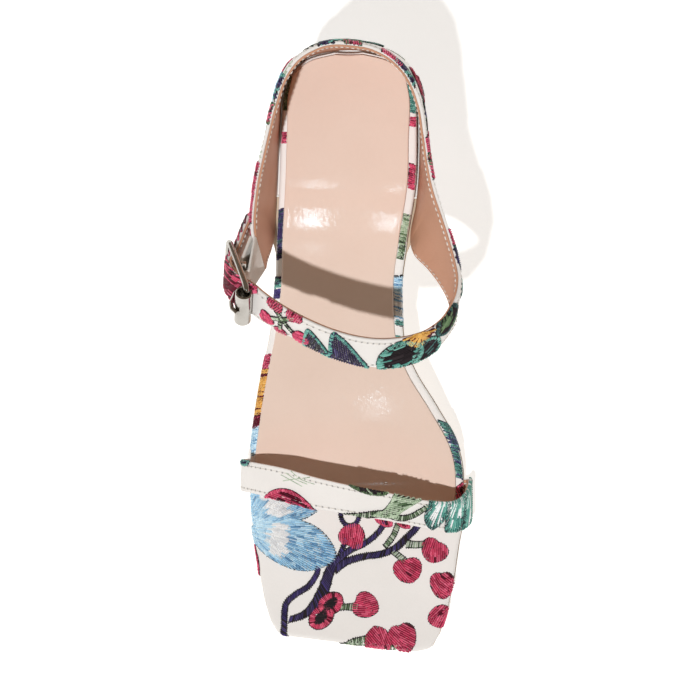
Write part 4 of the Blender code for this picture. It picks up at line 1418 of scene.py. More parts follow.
def rays(outline, focus, gap=STITCH_GAP, longest=3.4, ragged=0.3):
    """Long and short stitches that spread from one place to the outline."""
    reach = np.linalg.norm(outline - focus, axis=1).mean()
    ends = []
    for degrees in np.arange(0, 360, math.degrees(gap / reach)):
        flat = turned(outline - focus, -degrees)
        x = crossings(flat, 1e-6)
        inside_first = len(x[x <= 0]) % 2
        x = x[x > 0]
        if inside_first:
            x = np.concatenate(((chance.uniform(0, 0.35) * x[0],), x))
        for start, end in zip(x[::2], x[1::2]):
            made = [((p, 0.0), (q, 0.0)) for p, q in split(start, end, longest, ragged)]
            ends.extend(turned(made, degrees) + focus)
    return np.array(ends).reshape(-1, 2, 2)


def around(outline, gap, fewest):
    """Points round an outline, about a gap apart, and the way out of it at each."""
    long = np.linalg.norm(np.roll(outline, -1, axis=0) - outline, axis=1).sum()
    line = evenly(outline, max(fewest, int(long / gap)))
    ahead = unit(np.roll(line, -1, axis=0) - np.roll(line, 1, axis=0))
    x, y = outline.T
    area = np.sum(x * np.roll(y, -1) - np.roll(x, -1) * y)
    return line, np.stack((ahead[:, 1], -ahead[:, 0]), axis=1) * np.sign(area)


def edging(outline, inward, outside, gap):
    """Short stitches across an outline."""
    line, out = around(outline, gap, 6)
    deep = inward * chance.uniform(0.5, 1.2, (len(line), 1))
    beyond = outside * chance.uniform(0.4, 1.2, (len(line), 1))
    return np.stack((line - out * deep, line + out * beyond), axis=1)


def backstitch(outline, step, outside):
    """Stitches end to end along an outline, a little outside it."""
    line, out = around(outline, step, 8)
    line = line + out * outside
    return np.stack((line, np.roll(line, -1, axis=0)), axis=1)


def open_line(path, gap, fewest, more=0):
    """Points about a gap apart on a smooth line through a path."""
    line = curve(path)
    length = np.linalg.norm(np.diff(line, axis=0), axis=1).sum()
    return evenly(line, max(fewest, int(length / gap) + more), closed=False)


def ribbon(path, wide, slant, gap):
    """Stitches across a stem that follows a path, leaning along it."""
    line = open_line(path, gap, 4)
    ahead = unit(np.gradient(line, axis=0))
    out = np.stack((ahead[:, 1], -ahead[:, 0]), axis=1)
    share, keys = np.linspace(0, 1, len(line)), np.linspace(0, 1, len(wide))
    half = np.interp(share, keys, wide)[:, None] / 2
    half = half * chance.uniform(0.92, 1.08, half.shape)
    return np.stack((line - (out + ahead * slant) * half, line + (out + ahead * slant) * half), axis=1)


class Drawing:
    """A place on a panel where motifs are drawn, in millimetres, turned and sized."""

    def __init__(self, panel, *place, turn=0.0, size=1.0, at=(0.0, 0.0)):
        self.panel, self.place = panel, place
        self.turn, self.size, self.shift = turn, size, np.array(at, float)
        self.onto = panel.lay(*place)

    def moved(self, at, turn=0.0, size=1.0):
        there = self.shift + turned(np.array(at, float) * self.size, self.turn)
        return Drawing(self.panel, *self.place, turn=self.turn + turn, size=self.size * size, at=there)

    def lay(self, drawn):
        flat = turned(drawn.reshape(-1, 2) * self.size, self.turn) + self.shift
        return self.onto(flat.reshape(drawn.shape))

    def sew(self, ends, tint, **thread):
        sew(self.panel, self.lay, ends, tint, **thread)

    def gap(self):
        return STITCH_GAP / self.size

    def mixed(self, ends, tint, other, share, **thread):
        """Sews most stitches in one colour and a share of them in another."""
        odd = chance.random(len(ends)) < share
        self.sew(ends[~odd], tint, **thread)
        self.sew(ends[odd], other, **thread)

    def bedding(self, outline, tint, degrees=0):
        """Wide stitches under a filled shape: they raise it, and their dark tone shows in the gaps
        between its threads as painted shade.
        """
        ends = hatch(outline, degrees, 0.95 / self.size, 6, 0.0)
        self.sew(ends, tint, **BED_THREAD)

    def outlined(self, outline, wide=0.55):
        # A dark line round a shape: an outline, and painted shadow round its raised stitches.
        ends = backstitch(outline, 1.5 / self.size, 0.12 / self.size)
        self.sew(ends, "charcoal", wide=wide, high=OUTLINE_HIGH)

    def shadow_line(self, outline, inward, outside, gap=1.0, tint="charcoal"):
        ends = edging(outline, inward / self.size, outside / self.size, gap / self.size)
        self.sew(ends, tint, **HAIR_THREAD)

    def stem(self, path, wide, tint, other, slant, dark_from):
        """A raised stem in two tones with some dark stitches; its wider dark bed and dark edges are an
        outline and painted shade along its sides.
        """
        wide = np.array(wide, float) / self.size
        line = ribbon(path, wide, slant, self.gap() * 0.86)
        bed = ribbon(path, wide + 0.8 / self.size, slant, self.gap() * 0.9)
        self.sew(bed, "charcoal", high=LINE_HIGH)
        pick = chance.random(len(line))
        first, last = pick < STEM_FIRST, pick >= dark_from
        for name, chosen in ((tint, first), (other, ~first & ~last), ("charcoal", last)):
            self.sew(line[chosen], name, lift=0.1)
        for edge in (line[:, 0], line[:, 1]):
            ends = np.stack((edge[:-2:2], edge[2::2]), axis=1)
            self.sew(ends, "charcoal", **STEM_EDGE_THREAD)

    def branch(self, path, wide, slant=0.7):
        self.stem(path, wide, "navy", "violet", slant, BRANCH_DARK)

    def stalk(self, path, wide, slant=0.15):
        self.stem(path, wide, "mint", "leaf_green", slant, STALK_DARK)

    def trail(self, path, tint, wide):
        """One thin line of stitches."""
        line = open_line(path, 1.4 / self.size, 3, 1)
        self.sew(np.stack((line[:-1], line[1:]), axis=1), tint, wide=wide, high=LINE_HIGH)

    def berry(self, at, turn=0.0, size=1.0, tall=1.0):
        """A crimson berry in two slanting columns, its tip down."""
        d = self.moved(at, turn, size)
        right = ((2.3, -4.5), (4.2, -2.9), (4.3, 0.2), (2.7, 3.3))
        left = [(-x, y) for x, y in right[::-1]]
        shape = loop((0, -4.2), *right, (0, 4.8), *left) * (1, tall)
        d.bedding(shape, "wine", degrees=90)
        d.outlined(shape)
        d.shadow_line(shape, 0.8, 0.5)
        lean = chance.uniform(52, 70)
        for low, high, degrees in ((-9, -0.6, lean + 8), (-0.6, 9, lean - 10)):
            column = kept_side(kept_side(shape, low, 1), high, -1)
            ends = hatch(column, degrees, d.gap() * 0.92, 2.3 / d.size)
            d.mixed(ends, "crimson", "wine", 0.02, lift=0.3)

    def split_bud(self, at, turn=0.0, size=1.0):
        """A red bud lobe, opened to a dark centre."""
        d = self.moved(at, turn, size)
        shape = loop((-5.2, -0.6), (-2.4, -3.6), (2.4, -3.9), (5.4, -1.2), (4.0, 2.6), (0.2, 4.0),
                     (-3.8, 2.8))
        heart = loop((-3.4, 0.2), (-0.6, -1.6), (3.0, -1.5), (2.2, 0.6), (0.2, 1.8), (-2.0, 1.4))
        d.bedding(shape, "wine")
        d.outlined(shape)
        d.shadow_line(shape, 0.8, 0.5)
        ends = edging(shape, 3.0 / d.size, 0.1, d.gap() * 0.85)
        d.mixed(ends, "crimson", "wine", 0.12, lift=0.3)
        d.sew(hatch(heart, 30, d.gap() * 0.6), "charcoal", lift=0.55)

    def petal(self, shape, heart, focus):
        """A large sky blue petal in long and short stitches with a pale heart."""
        self.bedding(shape, "denim")
        focus = np.array(focus, float)
        ends = rays(shape, focus, self.gap() * 0.74, 3.1 / self.size, 0.6)
        middle = ends.mean(axis=1)
        away = np.linalg.norm(middle - focus, axis=1)
        white = within(heart, middle + chance.normal(0, 0.35 / self.size, (len(ends), 2)))
        dark = ~white & (chance.random(len(ends)) < 0.06 + 0.42 * (away / away.max()) ** 3)
        layers = (("denim", dark, 0.28), ("sky", ~dark & ~white, 0.28), ("pale", white, 0.36))
        for tint, chosen, lift in layers:
            self.sew(ends[chosen], tint, wide=0.58, lift=lift)
        self.outlined(shape, wide=0.4)
        self.shadow_line(shape, 1.2, 0.5, 1.3, "denim")
        self.shadow_line(shape, 0.9, 0.5, 1.9)

    def leaf(self, at, turn, long, wide, outer, inner, other):
        """A leaf in two tones: stitches lean from its rib to its edges."""
        d = self.moved(at, turn)
        t = np.arange(0, long, d.gap() * 0.85)
        half = wide / 2 * np.sin(math.pi * np.clip(t / long, 0, 1) ** 0.75) ** 0.8
        shape = np.concatenate((np.stack((half, t), axis=1), np.stack((-half, t), axis=1)[::-1]))
        d.bedding(shape, "charcoal", degrees=90)
        d.outlined(evenly(shape, 60))
        for side in (-1, 1):
            rib = np.stack((np.zeros_like(t), t), axis=1)
            edge = np.stack((side * half, np.minimum(t + half * 0.6, long)), axis=1)
            meet = rib + (edge - rib) * chance.uniform(0.45, 0.62, (len(t), 1))
            d.mixed(np.stack((rib, meet), axis=1), inner, other, 0.3, lift=0.26)
            overlap = (edge - rib) * 0.08
            d.mixed(np.stack((meet - overlap, edge), axis=1), outer, inner, 0.12, lift=0.3)

    def patch(self, shape, outer, inner, other, band, degrees=0, focus=None, bed="charcoal"):
        """A cut-off leaf or petal: an edge band in one tone round a fill in another."""
        self.bedding(shape, bed)
        if focus:
            fill = rays(shape, np.array(focus, float), self.gap())
        else:
            fill = hatch(shape, degrees, self.gap())
        self.mixed(fill, inner, other, 0.3, lift=0.22)
        ends = edging(shape, band / self.size, 0.2 / self.size, 0.6 / self.size)
        self.mixed(ends, outer, inner, 0.1, lift=0.34)
        self.outlined(shape)

    def gold_heart(self):
        shape = loop((-3.4, 0), (-1.6, -3.0), (1.8, -2.8), (3.4, 0.2), (1.6, 3.0), (-1.8, 2.8))
        self.bedding(shape, "wine")
        ends = rays(shape, np.zeros(2), self.gap(), 1.7 / self.size, 0.6)
        self.mixed(ends, "gold", "wine", 0.1, lift=0.36)
        self.shadow_line(shape, 0.7, 0.8, 1.3, "gold")

    def bloom(self, at, turn, size):
        """A teal flower of six petals round a gold heart."""
        d = self.moved(at, turn, size)
        for lean in range(0, 360, 60):
            d.leaf(turned((0, 2.2), lean), lean, 10.5, 6.6, "teal", "deep_teal", "plum")
        d.gold_heart()

    def seed(self, at, turn, size):
        """A crimson seed in a green husk."""
        d = self.moved(at, turn, size)
        shape = loop((0, -5.2), (2.8, -2.6), (2.9, 1.4), (0.6, 4.8), (-2.2, 3.0), (-3.0, -0.6))
        d.patch(shape, "leaf_green", "crimson", "wine", 1.2, 70)

    def veins(self, at, turn, size):
        """A pale leaf drawn in mint lines only."""
        d = self.moved(at, turn, size)
        d.trail(((0, 0), (0.6, 5), (0, 11)), "mint", 0.6)
        for k in range(5):
            y = 1.6 + k * 1.9
            reach = 3.8 * math.sin(math.pi * (k + 1.2) / 6.4)
            for side in (-1, 1):
                vein = ((0.3, y), (side * reach * 0.6, y + 1.2), (side * reach, y + 1.6))
                d.trail(vein, "mint", 0.5)

    def leaf_pair(self, at, turn, size):
        """Two leaves that share a stalk."""
        d = self.moved(at, turn, size)
        d.stalk(((0, 8), (0.5, 4), (0, 0)), (1.8, 1.6), 0.2)
        d.leaf((0.6, 1), 215, 12, 6.4, "teal", "plum", "navy")
        d.leaf((-0.6, 1), 150, 12, 6.4, "teal", "plum", "navy")

    def sprig(self, at, turn, size):
        """A navy branch with three berries and a bud."""
        d = self.moved(at, turn, size)
        d.branch(((0, 14), (0.6, 8), (-0.8, 2), (1.0, -4), (4.8, -9)), (2.2, 3.0, 3.2, 2.2))
        d.branch(((-0.6, 3), (-4, -1), (-5, -6)), (2.4, 1.8))
        d.stalk(((0.4, 8), (5, 5.6), (8, 5.2)), (1.8, 1.6), 0.2)
        d.stalk(((0.2, 10), (-4, 8.5), (-6.5, 9)), (1.8, 1.5), 0.2)
        d.berry((12.0, 5.4), -70)
        d.berry((-10.4, 9.4), 80, 0.9)
        d.berry((-5.6, -9.6), 190)
        d.split_bud((7.0, -12.6), 150, 0.9)

    def bluebell(self, at, turn, size):
        """Two blue petals with pale hearts."""
        d = self.moved(at, turn, size)
        low = loop((-15, 0), (-8, 1), (-2, 0), (4, 3), (9, 9), (7.5, 13), (0, 15.5), (-8, 12.5),
                   (-14, 7))
        low_heart = loop((-8, 4), (-3, 3.4), (-1.6, 8.5), (-4, 11.5), (-8.6, 9.5))
        high = loop((-15, -1), (-14, -7), (-7, -10.5), (1, -10), (7, -6), (8, -2.5), (3, -0.5),
                    (-4, 0.4), (-9, 0.5))
        high_heart = loop((-9, -7.6), (-3, -8), (0.4, -4.6), (-3, -1.6), (-8.4, -2))
        d.petal(high, high_heart, (-16, -1))
        d.petal(low, low_heart, (-16, 1))


# The print, laid out as on the shoe. Light, middle and dark tone of each thread:
THREADS = {
    "crimson": ((250, 126, 158), (226, 70, 110), (160, 36, 70)),
    "wine": ((116, 24, 48), (92, 16, 38), (66, 12, 28)),
    "navy": ((104, 92, 150), (56, 46, 98), (26, 20, 52)),
    "violet": ((92, 78, 148), (70, 56, 122), (46, 36, 88)),
    "plum": ((66, 50, 98), (46, 34, 76), (30, 24, 52)),
    "sky": ((236, 250, 255), (202, 234, 248), (150, 200, 228)),
    "denim": ((164, 208, 234), (126, 176, 212), (84, 132, 174)),
    "pale": ((255, 254, 252), (248, 248, 248), (226, 228, 231)),
    "teal": ((146, 206, 192), (98, 172, 158), (54, 122, 114)),
    "deep_teal": ((84, 124, 120), (50, 84, 84), (26, 50, 54)),
    "mint": ((216, 228, 206), (186, 206, 176), (136, 160, 128)),
    "leaf_green": ((128, 154, 114), (92, 120, 84), (60, 84, 58)),
    "gold": ((250, 206, 122), (236, 180, 88), (204, 142, 58)),
    "charcoal": ((58, 50, 54), (40, 34, 38), (26, 22, 26)),
    "white": ((246, 242, 236), (236, 231, 224), (218, 212, 204)),
}


def steps(*spots):
    """Places on the toe, counted in steps from the corner behind the outer side."""
    return np.array(spots, float) * TOE_STEP


def draw_toe():
    d = Drawing(BED, -45.2, 145.4)
    red_edge = steps((9, 70), (13.5, 78), (14.5, 88), (12, 92), (7, 88), (6, 76))
    d.patch(loop(*red_edge), "crimson", "crimson", "wine", 1.0, 80)
    high = steps((6, 26), (20, 26), (35, 32), (48, 41), (56, 45), (50, 49.5), (44, 51.5), (30, 52.5),
                 (18, 51), (7, 50))
    high_heart = steps((17, 33), (28, 32), (37, 39), (35, 49), (26, 49.5), (21, 42))
    low = steps((9, 50), (22, 51.5), (38, 51), (48, 53.5), (57, 58), (65, 66), (70, 77), (67, 82),
                (60, 85.5), (50, 88), (38, 86.5), (25, 80.5), (15, 72), (9, 62))
    low_heart = steps((25, 55.5), (34, 56), (36, 66), (34, 76), (25, 77), (21, 68))
    for shape, heart, focus in ((high, high_heart, (2, 62)), (low, low_heart, (2, 56))):
        d.petal(loop(*shape), loop(*heart), steps(focus)[0])
    for wide, path in (
        ((2.1, 2.0, 1.9, 1.7),
         ((33, 139), (33, 128), (34, 113), (40, 106), (50, 99.5), (55.5, 92), (57.5, 86))),
        ((1.9, 2.4, 3.9, 4.2, 3.6, 3.0),
         ((37, 123), (47, 119.5), (55, 112), (61, 102), (63.5, 95), (66, 88), (71, 81))),
        ((1.8, 1.5), ((71, 82), (74, 74), (76, 69), (77, 66))),
        ((2.2, 1.8, 1.6), ((72, 80), (80, 73.5), (90, 69), (99, 62), (104, 55), (106, 48))),
        ((2.6, 2.2, 2.3, 1.9),
         ((70, 87), (78, 81.5), (90, 78), (103, 76), (113, 71.5), (121, 64), (127, 58), (131, 52))),
    ):
        d.branch(steps(*path), wide)
    tendril = steps((73.5, 44), (73.6, 50), (76, 54.5), (80, 56), (84, 54.5), (86.4, 50), (86.5, 44))
    d.branch(tendril, (1.4, 1.4), 0.2)
    for wide, path in (
        ((2.0, 1.8), ((116, 50), (112, 61), (109, 66), (105, 71))),
        ((2.6, 2.2), ((121, 69), (127, 69.5), (134, 69))),
        ((1.9, 2.3), ((111, 74.5), (115, 77.5), (119, 81))),
        ((2.3, 2.5), ((74, 114), (79, 114), (85, 114))),
        ((2.0, 3.0, 3.2), ((73, 144), (82, 139.5), (92, 137.5))),
        ((2.4, 2.2), ((108, 143), (113, 143))),
    ):
        d.stalk(steps(*path), wide)
    for at, wide, tall, turn in (
        ((82, 63), 18, 16.5, 205),
        ((140, 74), 18.5, 15.5, 30),
        ((121.5, 88), 19, 17, -12),
        ((146, 98.5), 16, 18.5, -4),
        ((144, 121), 15, 16, 75),
        ((91.5, 113), 17, 17.5, -65),
        ((100, 137), 18, 18, 170),
        ((118, 136), 18.5, 20, -18),
    ):
        size = wide * TOE_STEP / BERRY_WIDE
        d.berry(steps(at)[0], turn, size, tall / wide * BERRY_WIDE / BERRY_TALL)
    d.split_bud(steps((66, 112))[0], -28, 0.98)
    d.split_bud(steps((59.5, 121.5))[0], -40, 0.98)
    for shape in (
        ((98, 51), (104, 56), (110, 56), (108, 50)),
        ((113, 52), (117, 57), (123, 57), (119, 51)),
        ((163, 24), (159, 38), (151, 40.5), (146, 38), (152, 32)),
    ):
        d.patch(loop(*steps(*shape)), "crimson", "crimson", "wine", 0.8, 70)


class Band(Drawing):
    """A stretch of a strap, drawn by how far along the strap and the share up from its lower edge."""

    def __init__(self, panel, middle, wide):
        super().__init__(panel, middle, 0.5)
        self.middle, self.wide = middle, wide

    def spots(self, *places):
        return [(along - self.middle, (0.5 - share) * self.wide) for along, share in places]

    def cut_off(self, tones, band, degrees, *outline):
        self.patch(loop(*self.spots(*outline)), *tones, band, degrees)


def draw_vamp():
    d = Band(VAMP, 46.0, VAMP_WIDE)
    d.cut_off(("crimson", "crimson", "wine"), 1.2, 8,
              (36.5, -0.06), (40.5, 0.26), (46, 0.4), (51, 0.33), (56, 0.05), (56, -0.2),
              (38, -0.2))
    for path in (
        ((44, 0.62), (50, 0.82), (55, 0.98)),
        ((45, 0.9), (49, 0.78), (54, 0.74)),
        ((47, 1.0), (51, 0.84), (57, 0.8)),
        ((43, 0.8), (47, 0.72), (52, 0.62)),
    ):
        d.trail(d.spots(*path), "mint", 0.42)
    d = Band(VAMP, 75.0, VAMP_WIDE)
    d.cut_off(("leaf_green", "charcoal", "mint"), 1.0, 30,
              (67.5, 1.04), (72, 0.92), (78, 0.84), (83.5, 0.93), (84, 1.1), (70, 1.12))
    d = Band(VAMP, 88.0, VAMP_WIDE)
    d.cut_off(("mint", "mint", "leaf_green"), 1.2, -28,
              (80.5, 0.16), (84, 0.42), (85.6, 0.72), (87, 1.05), (95.5, 1.06), (93.6, 0.75),
              (90.5, 0.45), (88, 0.22))
    d.stalk(d.spots((71, -0.02), (76, 0.08), (82, 0.24), (86, 0.3)), (2.2, 2.6, 3.4))
    d.stalk(d.spots((86, 0.28), (91, 0.24), (95.5, 0.42), (99, 0.78)), (2.8, 2.3, 2.0))
    d = Band(VAMP, 110.0, VAMP_WIDE)
    for focus, shape in (
        ((106, 1.3), ((100.4, 0.78), (99.8, 0.48), (101.5, 0.2), (104.6, 0.1), (108, 0.36), (109, 0.7),
                      (108, 1.08), (101, 1.08))),
        ((113, 1.4), ((108, 1.08), (109, 0.6), (110.5, 0.1), (114, -0.12), (118, 0.1), (119, 0.6),
                      (118, 1.1))),
        ((124, 1.4), ((118, 1.1), (119, 0.5), (121, -0.1), (130, -0.1), (130, 1.1))),
    ):
        outline, focus = loop(*d.spots(*shape)), d.spots(focus)[0]
        d.patch(outline, "deep_teal", "teal", "pale", 1.4, focus=focus, bed="deep_teal")
    d = Band(VAMP, 30.0, VAMP_WIDE)
    d.cut_off(("teal", "plum", "deep_teal"), 0.8, 60,
              (23, 1.0), (25, 0.88), (28, 0.86), (30, 0.94), (29, 1.0))


def draw_strap():
    d = Band(UPPER, 300.0, STRAP_WIDE)
    d.stalk(d.spots((304.5, 0.9), (301, 0.66), (297.5, 0.42), (295.5, 0.32)), (1.7, 1.5))
    d.stalk(d.spots((306, 0.4), (302, 0.56), (298.5, 0.72), (296, 0.86)), (1.7, 1.5))
    d.stalk(d.spots((301, 0.6), (301.3, 0.4), (301.4, 0.2)), (1.5, 1.4))
    for place, turn, size in (
        ((303.8, 0.97), 178, 0.66),
        ((296.0, 0.96), 200, 0.7),
        ((307.2, 0.33), 70, 0.66),
        ((292.8, 0.27), -50, 0.74),
        ((301.4, 0.05), 0, 0.56),
    ):
        d.berry(d.spots(place)[0], turn, size)
    d = Band(UPPER, 278.0, STRAP_WIDE)
    d.cut_off(("teal", "plum", "charcoal"), 1.1, 75,
              (289.9, 0.74), (286.4, 0.58), (282.4, 0.28), (281.4, 0.06), (287, -0.06),
              (291.6, 0.04), (291.4, 0.4))
    d.cut_off(("teal", "plum", "navy"), 1.3, 100,
              (281.2, 0.9), (278.6, 0.92), (274.2, 0.72), (270.2, 0.38), (267.6, 0.0), (272, -0.08),
              (280, -0.08), (281.2, 0.3))
    d = Band(UPPER, 250.0, STRAP_WIDE)
    d.cut_off(("teal", "charcoal", "deep_teal"), 1.4, 40,
              (249.5, 0.72), (244, 0.78), (240.0, 0.56), (240.6, 0.1), (247, -0.05), (251, 0.2))
    d.cut_off(("teal", "charcoal", "teal"), 2.0, 20,
              (263.4, 0.42), (261.6, 0.74), (257, 0.92), (251, 0.86), (247.4, 0.6), (248, 0.2),
              (252, -0.05), (261, -0.05))
    gold = loop(*d.spots((256, 0.98), (252, 0.76), (248.5, 0.64), (245.2, 0.78), (241, 0.96),
                         (243, 1.1), (254, 1.1)))
    d.bedding(gold, "wine")
    ends = rays(gold, np.array(d.spots((248.5, 1.02))[0]), d.gap(), 1.8, 0.6)
    d.mixed(ends, "gold", "wine", 0.22, lift=0.34)
    d = Band(UPPER, 235.0, STRAP_WIDE)
    d.cut_off(("deep_teal", "charcoal", "leaf_green"), 1.4, 30,
              (241.2, 0.86), (238.5, 1.05), (232, 1.05), (228.6, 0.86), (230.4, 0.56), (236, 0.46),
              (240.4, 0.64))
    # The strap's tail is filled with dark wine: painted shade where the buckle shades it.
    d = Band(UPPER, 334.0, STRAP_WIDE)
    d.cut_off(("crimson", "wine", "crimson"), 1.0, 12,
              (313.4, 1.02), (315.5, 0.7), (319, 0.4), (322, -0.1), (340, -0.12), (360, -0.1),
              (360, 1.1), (330, 1.1))
    d = Band(UPPER, 214.0, QUARTER_WIDE)
    d.leaf(d.spots((203, 0.95))[0], -75, 11, 6, "navy", "plum", "deep_teal")
    d.leaf(d.spots((222, 0.75))[0], 60, 10, 7, "teal", "deep_teal", "plum")


# Motifs of the wall round the heel, where the print goes on over the whole piece of leather:
# millimetres along it, share up from its lower edge, turn and size
QUARTER_MOTIFS = (
    (10, 0.98, "berry", 30, 1.15), (23, 0.99, "berry", -20, 1.3), (52.5, 1.0, "seed", 80, 0.9),
    (62, 0.97, "leaf_pair", 30, 0.8), (76, 0.86, "veins", 160, 1.0), (90, 0.96, "leaf_pair", 70, 0.9),
    (103, 0.98, "seed", 40, 0.9), (121, 0.98, "berry", 30, 1.0), (131, 0.95, "leaf_pair", -30, 0.9),
    (161, 1.0, "berry", 10, 0.7), (167.5, 1.0, "seed", 100, 0.5), (173, 1.0, "berry", -30, 0.7),
    (198.5, 0.97, "berry", 30, 0.7), (24, 0.4, "sprig", -12, 1.0), (44, 0.74, "veins", 160, 1.1),
    (40, 0.16, "seed", 100, 1.0), (62, 0.46, "bluebell", 8, 1.05), (78, 0.14, "berry", 60, 1.0),
    (100, 0.46, "bloom", 12, 1.1), (120, 0.3, "veins", 30, 1.1), (142, 0.46, "sprig", 168, 1.05),
    (152, 0.1, "berry", 20, 1.0), (170, 0.4, "bluebell", 186, 1.0), (190, 0.4, "berry", 120, 1.0),
)
# The same on the heel, with the share of the way round it first
HEEL_MOTIFS = (
    (0.10, 0.72, "bloom", 20, 1.1), (0.06, 0.3, "sprig", 10, 1.0), (0.2, 0.36, "seed", 40, 1.1),
    (0.22, 0.9, "berry", 20, 1.0), (0.31, 0.62, "sprig", -20, 1.1), (0.3, 0.2, "bluebell", 20, 0.9),
    (0.42, 0.86, "seed", -50, 1.0), (0.47, 0.45, "bloom", 0, 1.15), (0.46, 0.12, "berry", 0, 1.0),
    (0.57, 0.8, "bluebell", 170, 1.0), (0.6, 0.34, "sprig", 175, 1.05), (0.7, 0.62, "veins", 20, 1.2),
    (0.72, 0.2, "berry", 40, 1.0), (0.76, 0.86, "leaf_pair", 50, 1.1), (0.82, 0.5, "sprig", 15, 1.0),
    (0.93, 0.8, "seed", 0, 1.1), (0.93, 0.42, "bluebell", 90, 0.9),
)


def draw_motifs(panel, motifs, scale):
    for along, share, motif, turn, size in motifs:
        getattr(Drawing(panel, along * scale, share), motif)((0, 0), turn, size)


# Ends of the print on the footbed's edge: where they start and end, their tones and their lean
RIM_COLOURS = (
    (LATERAL, 9, 21, "leaf_green", "mint", "leaf_green", 20),
    (LATERAL, 29, 33, "crimson", "wine", "crimson", 10),
    (LATERAL, 57, 75, "navy", "plum", "deep_teal", 70),
    (LATERAL, 81, 85, "teal", "teal", "plum", 15),
    (LATERAL, 85.5, 89, "violet", "navy", "plum", 15),
    (LATERAL, 110, 115, "crimson", "wine", "crimson", 30),
    (LATERAL, 115, 133, "gold", "gold", "wine", 20),
    (LATERAL, 133, 138, "wine", "crimson", "wine", 60),
    (LATERAL, 138, 149, "sky", "sky", "denim", 80),
    (MEDIAL, 12, 22, "teal", "deep_teal", "teal", 30),
    (MEDIAL, 24, 27, "crimson", "crimson", "wine", 30),
    (MEDIAL, 41, 50, "crimson", "wine", "crimson", 60),
    (MEDIAL, 58.4, 59, "charcoal", "charcoal", "charcoal", 0),
    (MEDIAL, 59, 67, "mint", "mint", "leaf_green", 50),
    (MEDIAL, 67, 75, "leaf_green", "mint", "charcoal", 50),
    (MEDIAL, 80.4, 81, "charcoal", "charcoal", "charcoal", 0),
    (MEDIAL, 81, 87, "sky", "sky", "denim", 20),
    (MEDIAL, 87, 97, "pale", "pale", "denim", 50),
    (MEDIAL, 97, 99, "teal", "charcoal", "pale", 20),
    (MEDIAL, 103, 108, "teal", "teal", "deep_teal", 20),
    (MEDIAL, 136, 158, "deep_teal", "teal", "navy", 60),
)


def draw_rim():
    """Stitches over the footbed's edge, an under layer and a sparser one on it."""
    d = Drawing(BED, 0.0, 0.0)
    inward, outside = 3.2, 4.5
    for side, start, end, outer, inner, other, degrees in RIM_COLOURS:
        lean = 3.0 * math.sin(math.radians(degrees))
        for tint, share, gap, lift in ((inner, 0.3, 0.45, 0.0), (outer, 0.25, 0.7, 0.12)):
            s = np.arange(start, end, gap)
            spread = chance.uniform(0.7, 1.3, (len(s), 1))
            edge = np.stack((edge_x(side, s), s), axis=1)
            near = edge + (-side * inward, -lean / 2) * spread
            far = edge + (side * outside, lean / 2) * spread
            d.mixed(np.stack((near, far), axis=1), tint, other, share, lift=lift)


# Sewn rows along the straps' and quarters' edges
def sew_rows(panel):
    count = int(panel.length / SEAM_PITCH)
    starts = np.arange(1, count - 1) * SEAM_PITCH + (SEAM_PITCH - SEAM_STITCH) / 2
    for upper_edge in (False, True):
        ends = []
        for along in starts:
            if not upper_edge and panel.lasted[0] < along < panel.lasted[1]:
                continue
            pair = []
            for spot in (along, along + SEAM_STITCH):
                share = SEAM_FROM_EDGE / panel.width(spot)
                pair.append((spot, 1 - share if upper_edge else share))
            ends.append(pair)
        sew(panel, lambda spots: (spots[..., 0], spots[..., 1]), ends, "white", SEAM_WIDE, SEAM_HIGH)


STITCH = stitch_model()
draw_toe()
draw_vamp()
draw_strap()
draw_motifs(UPPER, QUARTER_MOTIFS, 1)
draw_motifs(HEEL, HEEL_MOTIFS, HEEL.length)
draw_rim()
for panel in (VAMP, UPPER, VAMP_INSIDE, UPPER_INSIDE):
    sew_rows(panel)
for tint, tones in THREADS.items():
    make_threads(tint, thread("thread_" + tint, *(colour(*tone) for tone in tones)))


# Studio
AMBIENT, AMBIENT_TINT = 0.2, (1.0, 0.79, 0.59, 1)
KEY_PLACE, KEY_TINT = (-0.1121, -0.2518, 0.9613), (0.95, 0.98, 1.0)
KEY_POWER, KEY_SOFTNESS = 2.75, math.radians(1.6)
FLOOR_GLOW = 0.72
# Narrow lamps that only show as gloss on the sock: place, what each is aimed at, size and power
OUTER_SEAT, INNER_SEAT, BALL = (-0.014, 0.05, 0.07), (0.018, 0.047, 0.068), (0.007, -0.017, 0.027)
STRIPS = (
    ((-0.002, -0.397, 0.4715), OUTER_SEAT, (0.011, 0.15), 8.0e-4),
    ((-0.002, -0.4455, 0.410), OUTER_SEAT, (0.011, 0.05), 2.6e-4),
    ((-0.061, -0.397, 0.4715), INNER_SEAT, (0.011, 0.15), 8.0e-4),
    ((-0.061, -0.4455, 0.410), INNER_SEAT, (0.011, 0.06), 3.0e-4),
    ((-0.004, -1.07, 0.63), BALL, (0.014, 0.01), 1.0e-4),
)
STRIP_SPREAD, STRIP_TINT = math.radians(16.0), (0.6, 0.86, 1.0)
CAMERA_PLACE, CAMERA_TARGET = (0.0389, 0.0040, 1.3), (-0.0023, 0.0027, 0.0)
HALF_SEEN = 0.1519 / 1.12  # half the width that the camera sees on the floor
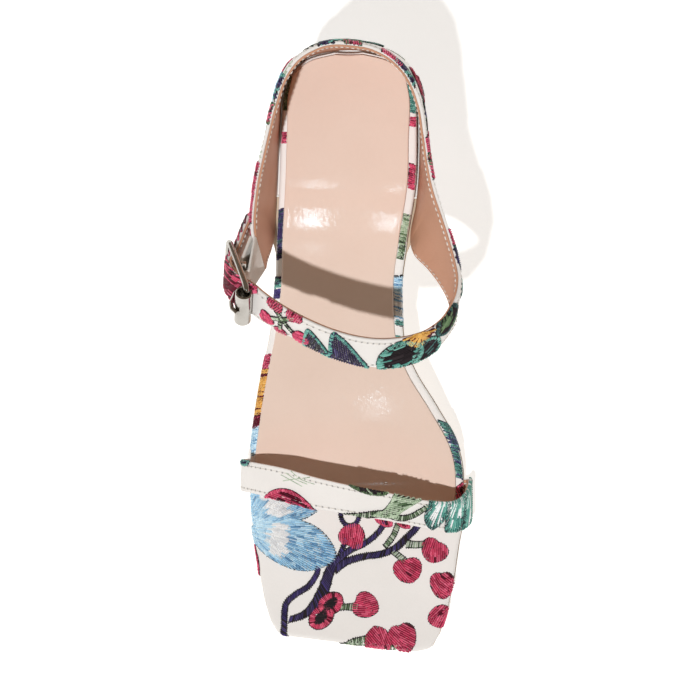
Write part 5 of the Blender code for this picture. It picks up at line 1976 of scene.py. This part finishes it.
CAMERA_VIEW = 2 * math.atan(HALF_SEEN / CAMERA_PLACE[2])
SENSOR = 36.0


def aim(ob, target):
    """Turns a camera or lamp to a place, its top towards the heel."""
    back = unit(np.array(ob.location) - target)
    right = unit(np.cross((0, 1, 0), back))
    turn = np.stack((right, np.cross(back, right), back), axis=1)
    ob.rotation_euler = Matrix(turn.tolist()).to_euler()


def make_studio():
    deselect()
    bpy.ops.mesh.primitive_plane_add(size=12)
    floor = begun("studio_floor")
    made, t, shader, own = begin_finish("pale_floor", Roughness=0.9)
    drift = use(t, DRIFT, Vector=own, Scale=2.0)["Drift"]
    t.plug(shader.inputs["Base Color"], t.mix(drift, colour(205, 204, 202), colour(200, 199, 197)))
    t.plug(shader.inputs["Emission Color"], colour(255, 254, 252))
    t.plug(shader.inputs["Emission Strength"], FLOOR_GLOW)
    floor.data.materials.append(made)
    world = bpy.data.worlds.new("studio")
    bpy.context.scene.world = world
    world.use_nodes = True
    sky = world.node_tree.nodes["Background"]
    sky.inputs["Color"].default_value = AMBIENT_TINT
    sky.inputs["Strength"].default_value = AMBIENT
    bpy.ops.object.light_add(type="SUN", location=KEY_PLACE)
    key = bpy.context.object
    key.data.energy, key.data.angle, key.data.color = KEY_POWER, KEY_SOFTNESS, KEY_TINT
    aim(key, (0, 0, 0))
    key.visible_glossy = False
    for place, target, size, power in STRIPS:
        bpy.ops.object.light_add(type="AREA", location=place)
        strip = bpy.context.object
        strip.data.shape = "ELLIPSE"
        strip.data.size, strip.data.size_y = size
        strip.data.energy, strip.data.color = power, STRIP_TINT
        strip.visible_diffuse = strip.visible_camera = False
        strip.data.spread = STRIP_SPREAD
        aim(strip, target)
    bpy.ops.object.camera_add(location=CAMERA_PLACE)
    camera = bpy.context.object
    camera.data.sensor_width = SENSOR
    camera.data.lens = SENSOR / 2 / math.tan(CAMERA_VIEW / 2)
    camera.data.clip_start, camera.data.clip_end = 0.05, 20.0
    aim(camera, CAMERA_TARGET)
    bpy.context.scene.camera = camera
    bpy.context.scene.view_settings.view_transform = "Standard"


make_studio()
